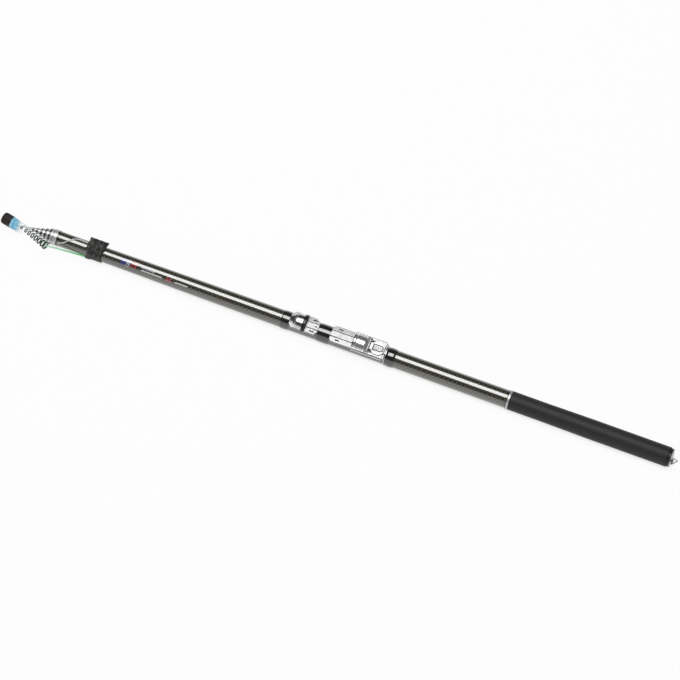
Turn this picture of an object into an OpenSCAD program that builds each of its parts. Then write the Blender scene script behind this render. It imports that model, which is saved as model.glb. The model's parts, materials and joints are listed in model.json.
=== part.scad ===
// Telescopic fishing rod, closed, with a lever-lock plate reel seat.
// The rod axis is X. The butt points to +X and the tip to -X, +Z is up and
// out of the reel seat, and the line guides stand out towards -Y.
// X = 0 is where the straight rear part of the grip ends. Sizes are in mm.

/* [Butt section] */
// Distance from the rear of the grip to the mouth of the butt section
butt_len = 946.7; // [700:0.1:1200]
// Outer radius of the blank at its rear end
butt_rear_r = 13.5; // [11:0.05:18]
// Outer radius of the straight land under the reel seat
seat_r = 13.0; // [10:0.05:17]
// Outer radius of the blank under the strap
strap_land_r = 11.15; // [9:0.05:15]
// Outer radius of the blank at its mouth
mouth_r = 11.05; // [9:0.05:15]
// Wall thickness at the mouth
mouth_wall = 1.2; // [0.8:0.05:2]
// Wall thickness at the rear end
rear_wall = 2.0; // [1.2:0.05:3]

/* [Inner sections] */
// Length of each section that stands out of the one behind it
stack_pitch = 6.56; // [5.5:0.01:9]
// Length that stays inside the section behind at full draw
overlap = 55; // [40:1:80]
// Radial clearance of the matched cones at full draw
draw_fit = 0.05; // [0.04:0.01:0.1]
// Gap between a collar and the mouth that stops it
stop_gap = 0.3; // [0.2:0.05:0.6]
// Wall thickness at the mouth of section two
wall_2 = 1.1; // [0.8:0.05:1.4]
// Wall thickness at the mouth of section three
wall_3 = 0.95; // [0.7:0.05:1.2]
// Wall thickness at the mouth of section four
wall_4 = 0.8; // [0.6:0.05:1]
// Wall thickness at the mouth of section five
wall_5 = 0.55; // [0.45:0.05:0.8]
// Wall thickness at the mouth of section six
wall_6 = 0.5; // [0.4:0.05:0.7]
// Radius that a thick section loses over one butt length
thick_drop = 1.0414; // [0.8:0.0001:1.2]
// Radius that a thin section loses over one butt length
thin_drop = 0.6627; // [0.5:0.0001:0.75]
// Radius that the tip section loses over one butt length
tip_drop = 0.9467; // [0.8:0.0001:1.1]
// Length of the tip section in front of section six
tip_reach = 12.5; // [11.5:0.1:15]

/* [Line guides] */
// Angle of the guides above the horizontal
guide_angle = 28; // [0:1:40]
// Height of the first ring's centre over the rod axis
ring_h = 24.8; // [23:0.1:30]
// Drop in height from one ring to the next
ring_h_step = 2.81; // [2.6:0.01:3]
// Outer radius of the first ring
ring_r = 6.0; // [5.4:0.05:6.6]
// Drop in outer radius from one ring to the next
ring_r_step = 0.4; // [0.3:0.01:0.45]
// Bore of a ring as a share of its outer radius
bore_share = 0.6; // [0.5:0.01:0.65]
// Forward lean of the first ring
ring_lean = 7.5; // [6:0.1:9]
// Tilt of the ring plane towards the tip
ring_tilt = 25; // [15:1:30]
// Width of the dark winding in front of a guide collar
winding_w = 2.3; // [1.8:0.1:2.8]

/* [Reel seat] */
// Distance from the rear of the grip to the rear end of the seat
seat_at = 434; // [400:1:480]
// Length of the rail plate
rail_len = 84; // [80:0.5:100]
// Gap between the two seat plates
plate_gap = 19.4; // [15:0.1:30]
// Length of the front plate
front_len = 43.1; // [38:0.1:50]
// Height of the seat land over the blank
land_rise = 1.0; // [0.8:0.1:1.6]
// Half width of the flat centre land
land_half = 4.75; // [4:0.05:6]
// Half width of the plates
plate_half = 12.8; // [12.4:0.1:13.4]
// Inner height of the hoods over the land
pocket_h = 4.9; // [4.6:0.1:5.5]
// Wall thickness of the hoods
hood_wall = 1.6; // [1.2:0.1:2.2]
// Length of the sliding hood with its lever
slide_len = 47; // [44:0.5:52]
// Length of the sliding hood's barrel
barrel_len = 20; // [17:0.5:22]
// Running gap of the slide on its rails
slide_gap = 0.3; // [0.2:0.05:0.5]
// Radius of the lever's hinge pin
pin_r = 0.9; // [0.7:0.05:1]
// Running clearance of the hinge pin
pin_fit = 0.05; // [0.02:0.01:0.1]

/* [Grip and butt cap] */
// Length of the grip
grip_len = 242; // [180:1:300]
// Radius of the straight rear part of the grip
grip_r = 14.7; // [14.3:0.05:18]
// Radius of the front end of the grip
grip_front_r = 14.0; // [13.9:0.05:16]
// Length of the straight rear part of the grip
grip_straight = 118; // [80:1:150]
// Round at the rear edge of the grip
grip_round = 1.2; // [0.8:0.1:2]
// Thickness of the butt cap's flange
cap_flange = 3.6; // [3:0.1:6]
// Radius of the plug on the butt cap
plug_r = 9.15; // [8:0.05:10]
// Thread clearance between plug and ferrule
thread_fit = 0.06; // [0.05:0.01:0.1]
// Radius of the bail wire
wire_r = 0.8; // [0.6:0.05:1]

/* [Strap and cords] */
// Distance from the mouth of the butt section back to the strap
strap_back = 51.7; // [35:0.1:90]
// Width of the strap
strap_w = 23; // [18:0.5:30]
// Thickness of one layer of the strap
strap_t = 1.5; // [1.2:0.1:2]
// Radius of the green cord
cord_r = 1.0; // [0.8:0.05:1.1]
// Radius of the pale keeper line
line_r = 0.5; // [0.4:0.05:0.6]

/* [Tip guard] */
// Radius of the tip guard
guard_r = 8.7; // [8.2:0.1:9.5]
// Length of the tip guard
guard_len = 34.2; // [32:0.1:38]
// Length of the guard's end cap
guard_cap_len = 15; // [12:0.5:17]
// Sideways tilt of the guard
guard_tilt = 12; // [8:1:14]

/* [Hidden] */
$fn = 64;
// Small gap between pieces that are glued together
glue = 0.03;
far = 60;

// Axial stations of the butt section
mouth_x = -butt_len;
plate_rear_x = -seat_at;
rail_front_x = plate_rear_x - rail_len;
front_rear_x = rail_front_x - plate_gap;
front_end_x = front_rear_x - front_len;
seat_land_rear_x = plate_rear_x + 4;
seat_land_front_x = front_end_x - 4.5;
strap_x = mouth_x + strap_back;
strap_rear_x = strap_x + strap_w;
grip_front_x = -grip_len;
blank_rear_x = -1;

// Butt cap and ferrule
flange_x = grip_round + 0.4;
flange_end_x = flange_x + cap_flange;
flange_r = grip_r - 1.1;
insert_front_x = -24;
plug_front_x = -18;
nest_rear_x = insert_front_x - 1;
pad_front_x = nest_rear_x + 0.6;
butt_rear_bore = butt_rear_r - rear_wall;

// Butt blank outer profile, from the rear to the mouth, as [radius, x]
butt_skin = [
    [butt_rear_r, blank_rear_x],
    [butt_rear_r - 0.1, grip_front_x - 4],
    [seat_r, seat_land_rear_x],
    [seat_r, seat_land_front_x],
    [seat_r - 0.2, seat_land_front_x - 14],
    [seat_r * 0.6 + strap_land_r * 0.4, seat_land_front_x * 0.55 + strap_rear_x * 0.45],
    [strap_land_r, strap_rear_x + 15],
    [strap_land_r, strap_x],
    [mouth_r, strap_x - 15],
    [mouth_r, mouth_x]
];

// Nested sections two to seven, listed by index 0 to 5
wall = [wall_2, wall_3, wall_4, wall_5, wall_6];
taper = [thick_drop, thick_drop, thick_drop, thin_drop, thin_drop, tip_drop] / butt_len;
function front_x(i) = i < 5 ? mouth_x - (i + 1) * stack_pitch
                            : mouth_x - 5 * stack_pitch - tip_reach;
function behind_bore(i) = i == 0 ? mouth_r - mouth_wall : tip_r(i - 1) - wall[i - 1];
function root_r(i) = behind_bore(i) + taper[i] * overlap - draw_fit;
function tip_r(i) = root_r(i) - taper[i] * (nest_rear_x - front_x(i));
function behind_r(i) = i == 0 ? mouth_r : tip_r(i - 1);
function collar_r(i) = behind_r(i) - 0.3;

// Line guides: 0 on the butt, 1 to 5 on the sections, 6 floating, 7 tip-top
function g_height(n) = ring_h - ring_h_step * n;
function g_ring(n) = ring_r - ring_r_step * n;
function g_bore(n) = g_ring(n) * bore_share;
function g_lean(n) = ring_lean - 0.35 * n;
function g_width(n) = g_ring(n) * 0.36;
function g_seat(n) = g_bore(n) + (g_ring(n) - g_bore(n)) * 0.62;
butt_collar_len = 6;
mouth_wrap_x = mouth_x + butt_collar_len + 0.25;
mouth_wrap_w = 2.6;
float_len = 3.2;
top_len = 6;
top_r = tip_r(5) + 0.65;
float_bore = tip_r(5) + taper[5] * butt_len * 0.475 + draw_fit;

// Reel seat heights and radii
land_z = seat_r + land_rise;
roof_z = land_z - 1.1;
rail_z = roof_z - 1.3;
skirt_half = plate_half - 1;
skirt_z = seat_r * 0.58;
arch_z = 6;
arch_in = land_z + pocket_h - arch_z;
arch_r = arch_in + hood_wall;
lip_rear_x = front_rear_x - 18;
lip_len = 5.8;
slide_rear_x = plate_rear_x - 2.5;
slide_front_x = slide_rear_x - slide_len;
barrel_rear_x = slide_front_x + barrel_len;
deck_z = land_z + slide_gap;
deck_t = 1.2;
rail_half = plate_half + slide_gap;
slide_half = rail_half + 1.5;
knuckle_r = 2.6;
pin_x = barrel_rear_x + knuckle_r + 0.9;
pin_z = land_z + knuckle_r + 0.4;
lug_in = 8.4;
lug_t = 2.8;
lever_z = deck_z + deck_t + slide_gap;
lever_t = 1.6;
lever_half = 10.5;

// Strap: the outer skin is set off centre, where the layers overlap
strap_in = strap_land_r + glue;
strap_out = strap_in + strap_t * 2.1;
strap_shift = strap_t * 0.85;

// Points on the rod's skin, turned a degrees up from -Y
function skin(x, r, a) = [x, -r * cos(a), r * sin(a)];
ring_x = mouth_x + butt_collar_len / 2 + 0.2 - g_lean(0);
cord_end = skin(strap_x, strap_in + cord_r + 0.05, -7);
cord_from = skin(ring_x, g_height(0), guide_angle);
cord_run = strap_x - 2 - ring_x;
function cord_share(t) = t < 1 ? 1 - pow(1 - t, 1.35) : 1;
function cord_point(t) = [
    ring_x + cord_run * t,
    cord_from[1] + (cord_end[1] - cord_from[1]) * cord_share(t),
    cord_from[2] + (cord_end[2] - cord_from[2]) * cord_share(t)
];
cord_path = [for (i = [-2 : 38]) cord_point(i / 33)];
line_at = strap_land_r + line_r + 0.1;
line_from = mouth_wrap_x + mouth_wrap_w + 0.2;
line_run = strap_x + 4 - line_from;
line_angle = 110;
function line_turn(t) = t < 1 ? t * t * (3 - 2 * t) : 1;
function line_point(t) = skin(
    line_from + line_run * t, line_at,
    guide_angle + 6 + (line_angle - guide_angle - 6) * line_turn(t / 0.62)
);
line_path = [for (i = [0 : 40]) line_point(i / 40)];

// Tip guard frame: u runs from the closed end to the mouth
guard_end = [front_x(5) - 34, 2.4, 0];
guard_wall = 1.1;
guard_floor = guard_len - 3.8;
guard_core = guard_r - 1.1;
tether_r = 0.7;
top_x = front_x(5) + top_len / 2 - 0.6;
knot = [front_x(5) - 11.7, -2.3, 0];
tip_ring = skin(top_x - g_lean(7), g_height(7), guide_angle);

// Bail frame: turned about X so that +Y runs along the hinge bar
bail_turn = 200;
bail_x = flange_end_x + 2.4;
bail_from = -0.5;
bail_to = 9;
bail_reach = 7.6;

// Solid of revolution about the rod axis from [radius, x] points
module turned(profile) {
    rotate([0, 90, 0])
        rotate_extrude()
            polygon(profile);
}

// Plain ring about the rod axis between two stations
module band(x0, x1, r_in, r_out) {
    turned([[r_in, x0], [r_out, x0], [r_out, x1], [r_in, x1]]);
}

// Ring with rounded shoulders, as a lacquered winding has
module soft_band(x0, x1, r_in, r_out, edge) {
    turned([
        [r_in, x0], [r_out - edge, x0], [r_out, x0 + edge * 2],
        [r_out, x1 - edge * 2], [r_out - edge, x1], [r_in, x1]
    ]);
}

// Round rod between two points
module stick(a, b, r) {
    d = b - a;
    len = norm(d);
    translate(a)
        rotate([0, acos(d[2] / len), atan2(d[1], d[0])])
            cylinder(h = len, r = r);
}

// Round tube swept through a list of points that run mostly along X
module swept(path, r) {
    sides = 12;
    last = len(path) - 1;
    rings = [
        for (i = [0 : last])
            let (
                d = path[min(i + 1, last)] - path[max(i - 1, 0)],
                t = d / norm(d),
                c = cross(t, [0, 0, 1]),
                u = c / norm(c),
                w = cross(u, t)
            )
            for (k = [0 : sides - 1])
                path[i] + r * (cos(360 * k / sides) * u + sin(360 * k / sides) * w)
    ];
    skins = [
        for (i = [0 : last - 1], k = [0 : sides - 1])
            let (
                a = i * sides + k,
                b = i * sides + (k + 1) % sides
            )
            each [[a, b, b + sides], [a, b + sides, a + sides]]
    ];
    start = [[for (k = [sides - 1 : -1 : 0]) k]];
    finish = [[for (k = [0 : sides - 1]) last * sides + k]];
    polyhedron(rings, concat(skins, start, finish));
}

// Extrusion along X of a profile drawn in Y and Z
module along_x(x0, x1) {
    translate([x0, 0, 0])
        rotate([90, 0, 90])
            linear_extrude(x1 - x0)
                children();
}

// Butt section
module butt_blank() {
    bore = behind_bore(0);
    color("#2b2a22")
        turned(concat(butt_skin, [
            [bore, mouth_x],
            [bore + taper[0] * overlap, mouth_x + overlap],
            [butt_rear_bore, -grip_len],
            [butt_rear_bore, blank_rear_x]
        ]));
}

module butt_insert() {
    color("#3a3a3c")
        band(insert_front_x, blank_rear_x, plug_r + thread_fit, butt_rear_bore - glue);
}

module grip_sleeve() {
    r_in = butt_rear_r + glue;
    color("#232423")
        turned([
            [r_in, grip_front_x],
            [grip_front_r - 0.3, grip_front_x],
            [grip_front_r, grip_front_x + 1],
            [grip_front_r, -grip_straight - 70],
            [grip_r, -grip_straight],
            [grip_r, 0],
            [grip_r - grip_round * 0.35, grip_round * 0.7],
            [grip_r - grip_round, grip_round],
            [r_in, grip_round]
        ]);
}

module grip_trim_ring() {
    color("#d8d9da")
        soft_band(grip_front_x - 3, grip_front_x, butt_rear_r + glue, grip_front_r + 0.35, 0.4);
}

module grip_trim_band() {
    color("#111111")
        band(grip_front_x - 4.2, grip_front_x - 3, butt_rear_r + glue, grip_front_r - 0.1);
}

// Lacquered windings that bind the seat to the blank
module rear_wrap() {
    color("#0b0b0c")
        soft_band(plate_rear_x + 1.6, plate_rear_x + 15.4, seat_r + 0.1, seat_r + 1.2, 0.7);
}

module rear_wrap_ring() {
    color("#d8d9da")
        band(plate_rear_x + 0.2, plate_rear_x + 1.6, seat_r + glue, seat_r + 1.4);
}

module middle_wrap() {
    color("#0b0b0c")
        soft_band(front_rear_x + 0.2, rail_front_x - 0.2, seat_r + glue, seat_r + 0.6, 0.4);
}

module front_wrap() {
    color("#0b0b0c")
        soft_band(front_end_x - 12.4, front_end_x - 0.2, seat_r + glue, seat_r + 0.6, 0.4);
}

// Reel seat plates: a roof with a flat land, edge rails and side skirts
module plate_section() {
    difference() {
        polygon([
            [-skirt_half, skirt_z], [-skirt_half, rail_z], [-plate_half, rail_z],
            [-plate_half, roof_z], [-land_half, land_z], [land_half, land_z],
            [plate_half, roof_z], [plate_half, rail_z], [skirt_half, rail_z],
            [skirt_half, skirt_z]
        ]);
        circle(r = seat_r + glue);
    }
}

// Plan outline of a plate with cut corners at one or both ends
module plate_plan(x0, x1, cut0, cut1) {
    translate([0, 0, skirt_z - 1])
        linear_extrude(land_z)
            polygon([
                [x0 + cut0, -plate_half - 1], [x1 - cut1, -plate_half - 1],
                [x1, -plate_half + cut1], [x1, plate_half - cut1],
                [x1 - cut1, plate_half + 1], [x0 + cut0, plate_half + 1],
                [x0, plate_half - cut0], [x0, -plate_half + cut0]
            ]);
}

// Two grooves beside the land
module land_grooves(x0, x1) {
    for (side = [-1, 1])
        translate([x0 - 1, side * land_half, land_z])
            rotate([45, 0, 0])
                translate([0, -0.32, -0.32])
                    cube([x1 - x0 + 2, 0.64, 0.64]);
}

// Long slot pressed into a side facet
module facet_slot(x, side, len) {
    y = side * (land_half + plate_half) / 2;
    for (end = [-1, 1])
        translate([x + end * (len / 2 - 0.8), y, roof_z - 0.7])
            cylinder(h = 4, r = 0.8);
    translate([x - len / 2 + 0.8, y - 0.8, roof_z - 0.7])
        cube([len - 1.6, 1.6, 4]);
}

module rail_saddle() {
    slot_x = rail_front_x + 12;
    color("#cfd1d3")
        difference() {
            intersection() {
                along_x(rail_front_x, plate_rear_x)
                    plate_section();
                plate_plan(rail_front_x, plate_rear_x, 3, 0.6);
            }
            land_grooves(rail_front_x, plate_rear_x);
            for (side = [-1, 1])
                facet_slot(slot_x, side, 6);
        }
}

module front_saddle() {
    slot_x = front_rear_x - 8;
    color("#cfd1d3")
        difference() {
            intersection() {
                along_x(front_end_x, front_rear_x)
                    plate_section();
                plate_plan(front_end_x, front_rear_x, 4, 3);
            }
            land_grooves(lip_rear_x, front_rear_x);
            for (side = [-1, 1])
                facet_slot(slot_x, side, 6);
            translate([front_rear_x - 4, 0, land_z - 0.6])
                cylinder(h = 2, r = 0.9);
        }
}

// Space over the roof of the plates
module over_roof(x0, x1, lift) {
    along_x(x0, x1)
        polygon([
            [-far, roof_z + lift], [-plate_half, roof_z + lift], [-land_half, land_z + lift],
            [land_half, land_z + lift], [plate_half, roof_z + lift], [far, roof_z + lift],
            [far, far], [-far, far]
        ]);
}

// Solid of revolution about the hoods' own axis over the rod axis
module arch(profile) {
    translate([0, 0, arch_z])
        turned(profile);
}

module front_hood() {
    x1 = lip_rear_x - lip_len;
    pocket_x = lip_rear_x - 14;
    color("#b9bcc0")
        intersection() {
            arch([
                [0, front_end_x], [arch_r - 5.2, front_end_x], [arch_r - 1.6, front_end_x + 7],
                [arch_r, x1 - 4], [arch_r, x1], [arch_in, x1],
                [arch_in, pocket_x + 4], [arch_in - 3, pocket_x], [0, pocket_x]
            ]);
            over_roof(front_end_x, x1, glue);
        }
}

module front_hood_lip() {
    x0 = lip_rear_x - lip_len;
    color("#151516")
        intersection() {
            arch([
                [arch_in, x0], [arch_r + 0.5, x0], [arch_r + 0.9, x0 + 1],
                [arch_r + 0.9, lip_rear_x - 1], [arch_r + 0.3, lip_rear_x], [arch_in, lip_rear_x]
            ]);
            over_roof(x0, lip_rear_x, glue);
        }
}

// Sliding hood: barrel, deck, wings and the hooks under the edge rails
module slide_side() {
    polygon([
        [rail_half - 1.0, rail_z - slide_gap - 1.8],
        [slide_half - 0.6, rail_z - slide_gap - 1.8],
        [slide_half, rail_z - slide_gap - 1.0],
        [slide_half, deck_z + deck_t],
        [lug_in, deck_z + deck_t],
        [lug_in, deck_z],
        [rail_half, deck_z],
        [rail_half, rail_z - slide_gap],
        [rail_half - 1.0, rail_z - slide_gap]
    ]);
}

module slide_hood() {
    back = barrel_rear_x - 2.4;
    color("#d3d5d7")
        difference() {
            union() {
                along_x(slide_front_x, slide_rear_x) {
                    slide_side();
                    mirror([1, 0, 0])
                        slide_side();
                }
                translate([back, -slide_half + 1, deck_z])
                    cube([slide_rear_x - back, 2 * slide_half - 2, deck_t]);
                intersection() {
                    arch([
                        [0, slide_front_x], [arch_r + 0.7, slide_front_x],
                        [arch_r + 0.7, slide_front_x + 3], [arch_r - 0.2, slide_front_x + 3.6],
                        [arch_r - 0.2, barrel_rear_x - 1], [arch_r - 1.2, barrel_rear_x],
                        [0, barrel_rear_x]
                    ]);
                    over_roof(slide_front_x, barrel_rear_x, slide_gap);
                }
                for (side = [-1, 1])
                    translate([pin_x, side * (lug_in + lug_t / 2), 0])
                        hinge_lug();
            }
            intersection() {
                arch([
                    [0, slide_front_x - 1], [arch_in, slide_front_x - 1],
                    [arch_in, back - 3], [arch_in - 3, back], [0, back]
                ]);
                translate([slide_front_x - 1, -far, 0])
                    cube([barrel_len, 2 * far, far]);
            }
            translate([pin_x - knuckle_r - slide_gap, -lug_in, deck_z - 1])
                cube([2 * (knuckle_r + slide_gap), 2 * lug_in, deck_t + 2]);
            translate([pin_x, far, pin_z])
                rotate([90, 0, 0])
                    cylinder(h = 2 * far, r = pin_r);
        }
}

// Upright lug that holds one end of the hinge pin
module hinge_lug() {
    translate([0, lug_t / 2, pin_z])
        rotate([90, 0, 0])
            cylinder(h = lug_t, r = knuckle_r - 0.2);
    translate([-knuckle_r + 0.2, -lug_t / 2, deck_z])
        cube([2 * knuckle_r - 0.4, lug_t, pin_z - deck_z]);
}

module lever_pin() {
    half = lug_in + lug_t;
    color("#8f9295")
        translate([pin_x, half, pin_z])
            rotate([90, 0, 0])
                cylinder(h = 2 * half, r = pin_r - 0.01);
}

module lock_lever() {
    x1 = slide_rear_x;
    knuckle_half = lug_in - slide_gap;
    color("#dddfe0")
        difference() {
            union() {
                translate([pin_x, knuckle_half, pin_z])
                    rotate([90, 0, 0])
                        cylinder(h = 2 * knuckle_half, r = knuckle_r - 0.1);
                translate([0, 0, lever_z])
                    linear_extrude(lever_t)
                        polygon([
                            [pin_x, -knuckle_half], [pin_x + 4, -knuckle_half],
                            [pin_x + 6, -lever_half], [x1 - 5, -lever_half],
                            [x1, -lever_half + 5], [x1, lever_half - 5],
                            [x1 - 5, lever_half], [pin_x + 6, lever_half],
                            [pin_x + 4, knuckle_half], [pin_x, knuckle_half]
                        ]);
            }
            translate([pin_x, far, pin_z])
                rotate([90, 0, 0])
                    cylinder(h = 2 * far, r = pin_r + pin_fit);
            translate([0, 0, lever_z + lever_t - 0.5])
                linear_extrude(2)
                    polygon([
                        [pin_x + 6.5, -lever_half + 4], [x1 - 4, -lever_half + 4],
                        [x1 - 2.4, -lever_half + 6], [x1 - 2.4, lever_half - 6],
                        [x1 - 4, lever_half - 4], [pin_x + 6.5, lever_half - 4]
                    ]);
        }
}

// Line guides: collar, leaning leg with a hole, and the ring seat
module guide_turn(x) {
    translate([x, 0, 0])
        rotate([90 - guide_angle, 0, 0])
            children();
}

module guide_ring_place(n) {
    translate([-g_lean(n), 0, g_height(n)])
        rotate([0, -ring_tilt, 0])
            children();
}

module guide_leg(n, foot_z, foot_len, hole_r) {
    reach = g_ring(n) - (g_ring(n) - g_seat(n)) / 2;
    top_x = -g_lean(n) + reach * sin(ring_tilt);
    top_z = g_height(n) - reach * cos(ring_tilt);
    half = g_width(n) * 0.5;
    leg_t = g_ring(n) * 0.3;
    translate([0, leg_t / 2, 0])
        rotate([90, 0, 0])
            linear_extrude(leg_t)
                difference() {
                    polygon([
                        [-foot_len / 2, foot_z], [foot_len / 2, foot_z],
                        [top_x + half, top_z], [top_x - half, top_z]
                    ]);
                    if (hole_r > 0)
                        translate([top_x * 0.28, foot_z + (top_z - foot_z) * 0.35])
                            circle(r = hole_r);
                }
}

module guide_frame(n, x, foot_z, foot_len, hole_r) {
    color("#d5d7d9")
        guide_turn(x) {
            guide_leg(n, foot_z, foot_len, hole_r);
            guide_ring_place(n)
                band(-g_width(n) / 2, g_width(n) / 2, g_seat(n) + 0.02, g_ring(n));
        }
}

module guide_insert(n, x) {
    w = g_width(n) / 2;
    mid = (g_bore(n) + g_seat(n)) / 2;
    color("#16342a")
        guide_turn(x)
            guide_ring_place(n)
                turned([
                    [g_bore(n), -w * 0.5], [mid, -w - 0.25], [g_seat(n), -w],
                    [g_seat(n), w], [mid, w + 0.25], [g_bore(n), w * 0.5]
                ]);
}

butt_collar_x = mouth_x + butt_collar_len / 2 + 0.2;

module butt_guide_frame() {
    r = mouth_r + 0.7;
    guide_frame(0, butt_collar_x, r - 0.2, butt_collar_len - 1, 0.9);
    color("#d5d7d9")
        band(mouth_x + 0.2, mouth_x + 0.2 + butt_collar_len, mouth_r + glue, r);
}

module butt_guide_ring() {
    guide_insert(0, butt_collar_x);
}

module mouth_wrap() {
    color("#0b0b0c")
        soft_band(mouth_wrap_x, mouth_wrap_x + mouth_wrap_w, mouth_r + glue, mouth_r + 0.35, 0.2);
}

// Nested tubes: matched cones grip over the overlap at full draw
module section_blank(i) {
    x1 = front_x(i);
    bore = behind_bore(i + 1);
    color("#1c1c1e")
        turned([
            [root_r(i), nest_rear_x],
            [tip_r(i), x1],
            [bore, x1],
            [bore + taper[i + 1] * overlap, x1 + overlap],
            [root_r(i) - wall[i] - 0.2, nest_rear_x]
        ]);
}

module section_winding(i) {
    x1 = front_x(i);
    color("#0d0d0e")
        soft_band(x1, x1 + winding_w, tip_r(i) + glue, collar_r(i) - 0.25, 0.3);
}

function collar_rear_x(i) = front_x(i) + stack_pitch - stop_gap;
function collar_mid_x(i) = (front_x(i) + winding_w + collar_rear_x(i)) / 2;

module section_guide_frame(i) {
    x0 = front_x(i) + winding_w;
    x1 = collar_rear_x(i);
    guide_frame(i + 1, collar_mid_x(i), collar_r(i) - 0.2, x1 - x0 - 0.4, 0);
    color("#d5d7d9")
        band(x0, x1, tip_r(i) + glue, collar_r(i));
}

module section_guide_ring(i) {
    guide_insert(i + 1, collar_mid_x(i));
}

// Loose guide that slides on the tip section
float_x = front_x(4) - stop_gap - float_len;

module float_guide_frame() {
    r = tip_r(4) - 0.3;
    guide_frame(6, float_x + float_len / 2, r - 0.2, float_len - 0.4, 0);
    color("#d5d7d9")
        band(float_x, float_x + float_len, float_bore, r);
}

module float_guide_ring() {
    guide_insert(6, float_x + float_len / 2);
}

// Solid tip section with its end guide
module tip_blank() {
    color("#1c1c1e")
        turned([
            [0, nest_rear_x], [root_r(5), nest_rear_x],
            [tip_r(5), front_x(5)], [0, front_x(5)]
        ]);
}

module tip_top_frame() {
    x0 = front_x(5) - 0.6;
    guide_frame(7, top_x, top_r - 0.2, top_len - 2, 0);
    color("#d5d7d9")
        turned([
            [0, x0], [top_r - 0.3, x0], [top_r, x0 + 0.3], [top_r, x0 + top_len],
            [tip_r(5) + 0.04, x0 + top_len], [tip_r(5) + 0.04, front_x(5) - 0.05],
            [0, front_x(5) - 0.05]
        ]);
}

module tip_top_ring() {
    guide_insert(7, top_x);
}

// Tip guard
module guard_frame() {
    translate(guard_end)
        rotate([0, 0, -guard_tilt])
            children();
}

module guard_cup() {
    color([0.62, 0.82, 0.95, 0.5])
        difference() {
            guard_frame()
                turned([
                    [0, 3], [guard_core, 3], [guard_core, guard_cap_len],
                    [guard_r - 0.1, guard_cap_len], [guard_r - 0.4, guard_len - 0.4],
                    [guard_r - 0.8, guard_len], [guard_r - guard_wall, guard_len],
                    [guard_r - guard_wall, guard_floor], [0, guard_floor]
                ]);
            stick(knot, tip_ring, tether_r + 0.04);
            translate(knot)
                sphere(r = tether_r + 0.1);
        }
}

module guard_cap() {
    color("#1d1b18")
        guard_frame()
            turned([
                [0, 0], [guard_r - 2.6, 0], [guard_r - 0.9, 0.9], [guard_r, 3.2],
                [guard_r, guard_cap_len], [guard_core + glue, guard_cap_len],
                [guard_core + glue, 3 - glue], [0, 3 - glue]
            ]);
}

module guard_tether() {
    color("#0f8a8c")
        swept([for (t = [0 : 0.25 : 1]) knot + (tip_ring - knot) * t], tether_r);
}

// Strap wound round the blank, with its loose end standing off
module rod_strap() {
    color("#2a2a2b")
        difference() {
            union() {
                translate([strap_x, strap_shift * 0.75, strap_shift])
                    rotate([0, 90, 0])
                        cylinder(h = strap_w, r = strap_out);
                translate([strap_x + strap_w * 0.45, 0, strap_out + strap_shift - strap_t])
                    rotate([-24, 0, 0])
                        translate([0, 0, 0.3])
                            cube([strap_w * 0.75, strap_out * 0.62, strap_t]);
            }
            translate([strap_x - 1, 0, 0])
                rotate([0, 90, 0])
                    cylinder(h = strap_w + far, r = strap_in);
            translate([strap_x - 1, cord_end[1], cord_end[2]])
                rotate([0, 90, 0])
                    cylinder(h = 9, r = cord_r + glue);
            translate([strap_x - 1, -line_at * cos(line_angle), line_at * sin(line_angle)])
                rotate([0, 90, 0])
                    cylinder(h = 6, r = line_r + glue);
        }
}

// Green cord from the first ring to the strap
module tether_cord() {
    color("#7fce97")
        swept(cord_path, cord_r);
}

// Pale line laid over the blank from the first guide to the strap
module keeper_line() {
    color("#e8e8e4")
        swept(line_path, line_r);
}

// Screw-in butt cap with its buffer, seal, end plate and bail
module butt_cap() {
    color("#1a1a1a")
        turned([
            [0, plug_front_x], [plug_r - 0.6, plug_front_x], [plug_r, plug_front_x + 0.8],
            [plug_r, flange_x], [flange_r, flange_x], [flange_r, flange_end_x - 1.4],
            [flange_r - 1.4, flange_end_x], [0, flange_end_x]
        ]);
}

module cap_gasket() {
    color("#2b2b2b")
        band(blank_rear_x + 0.4, flange_x, plug_r + 0.4, butt_rear_r - 0.7);
}

module cap_pad() {
    color("#303030")
        turned([
            [0, pad_front_x], [plug_r - 1.8, pad_front_x], [plug_r - 1, pad_front_x + 0.8],
            [plug_r - 1, plug_front_x], [0, plug_front_x]
        ]);
}

module cap_plate() {
    color("#cfd1d3")
        turned([
            [0, flange_end_x], [flange_r - 2.2, flange_end_x],
            [flange_r - 2.4, flange_end_x + 0.5], [0, flange_end_x + 0.5]
        ]);
}

module bail_frame() {
    rotate([bail_turn, 0, 0])
        children();
}

module bail_eye() {
    y0 = bail_from + 2.6;
    y1 = bail_to - 3.4;
    color("#b9bcc0")
        bail_frame()
            difference() {
                union() {
                    translate([flange_end_x + 0.5, y0, -wire_r - 1])
                        cube([bail_x - flange_end_x - 0.5, y1 - y0, 2 * wire_r + 2]);
                    translate([bail_x, y1, 0])
                        rotate([90, 0, 0])
                            cylinder(h = y1 - y0, r = wire_r + 1);
                }
                translate([bail_x, far, 0])
                    rotate([90, 0, 0])
                        cylinder(h = 2 * far, r = wire_r + pin_fit);
            }
}

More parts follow.
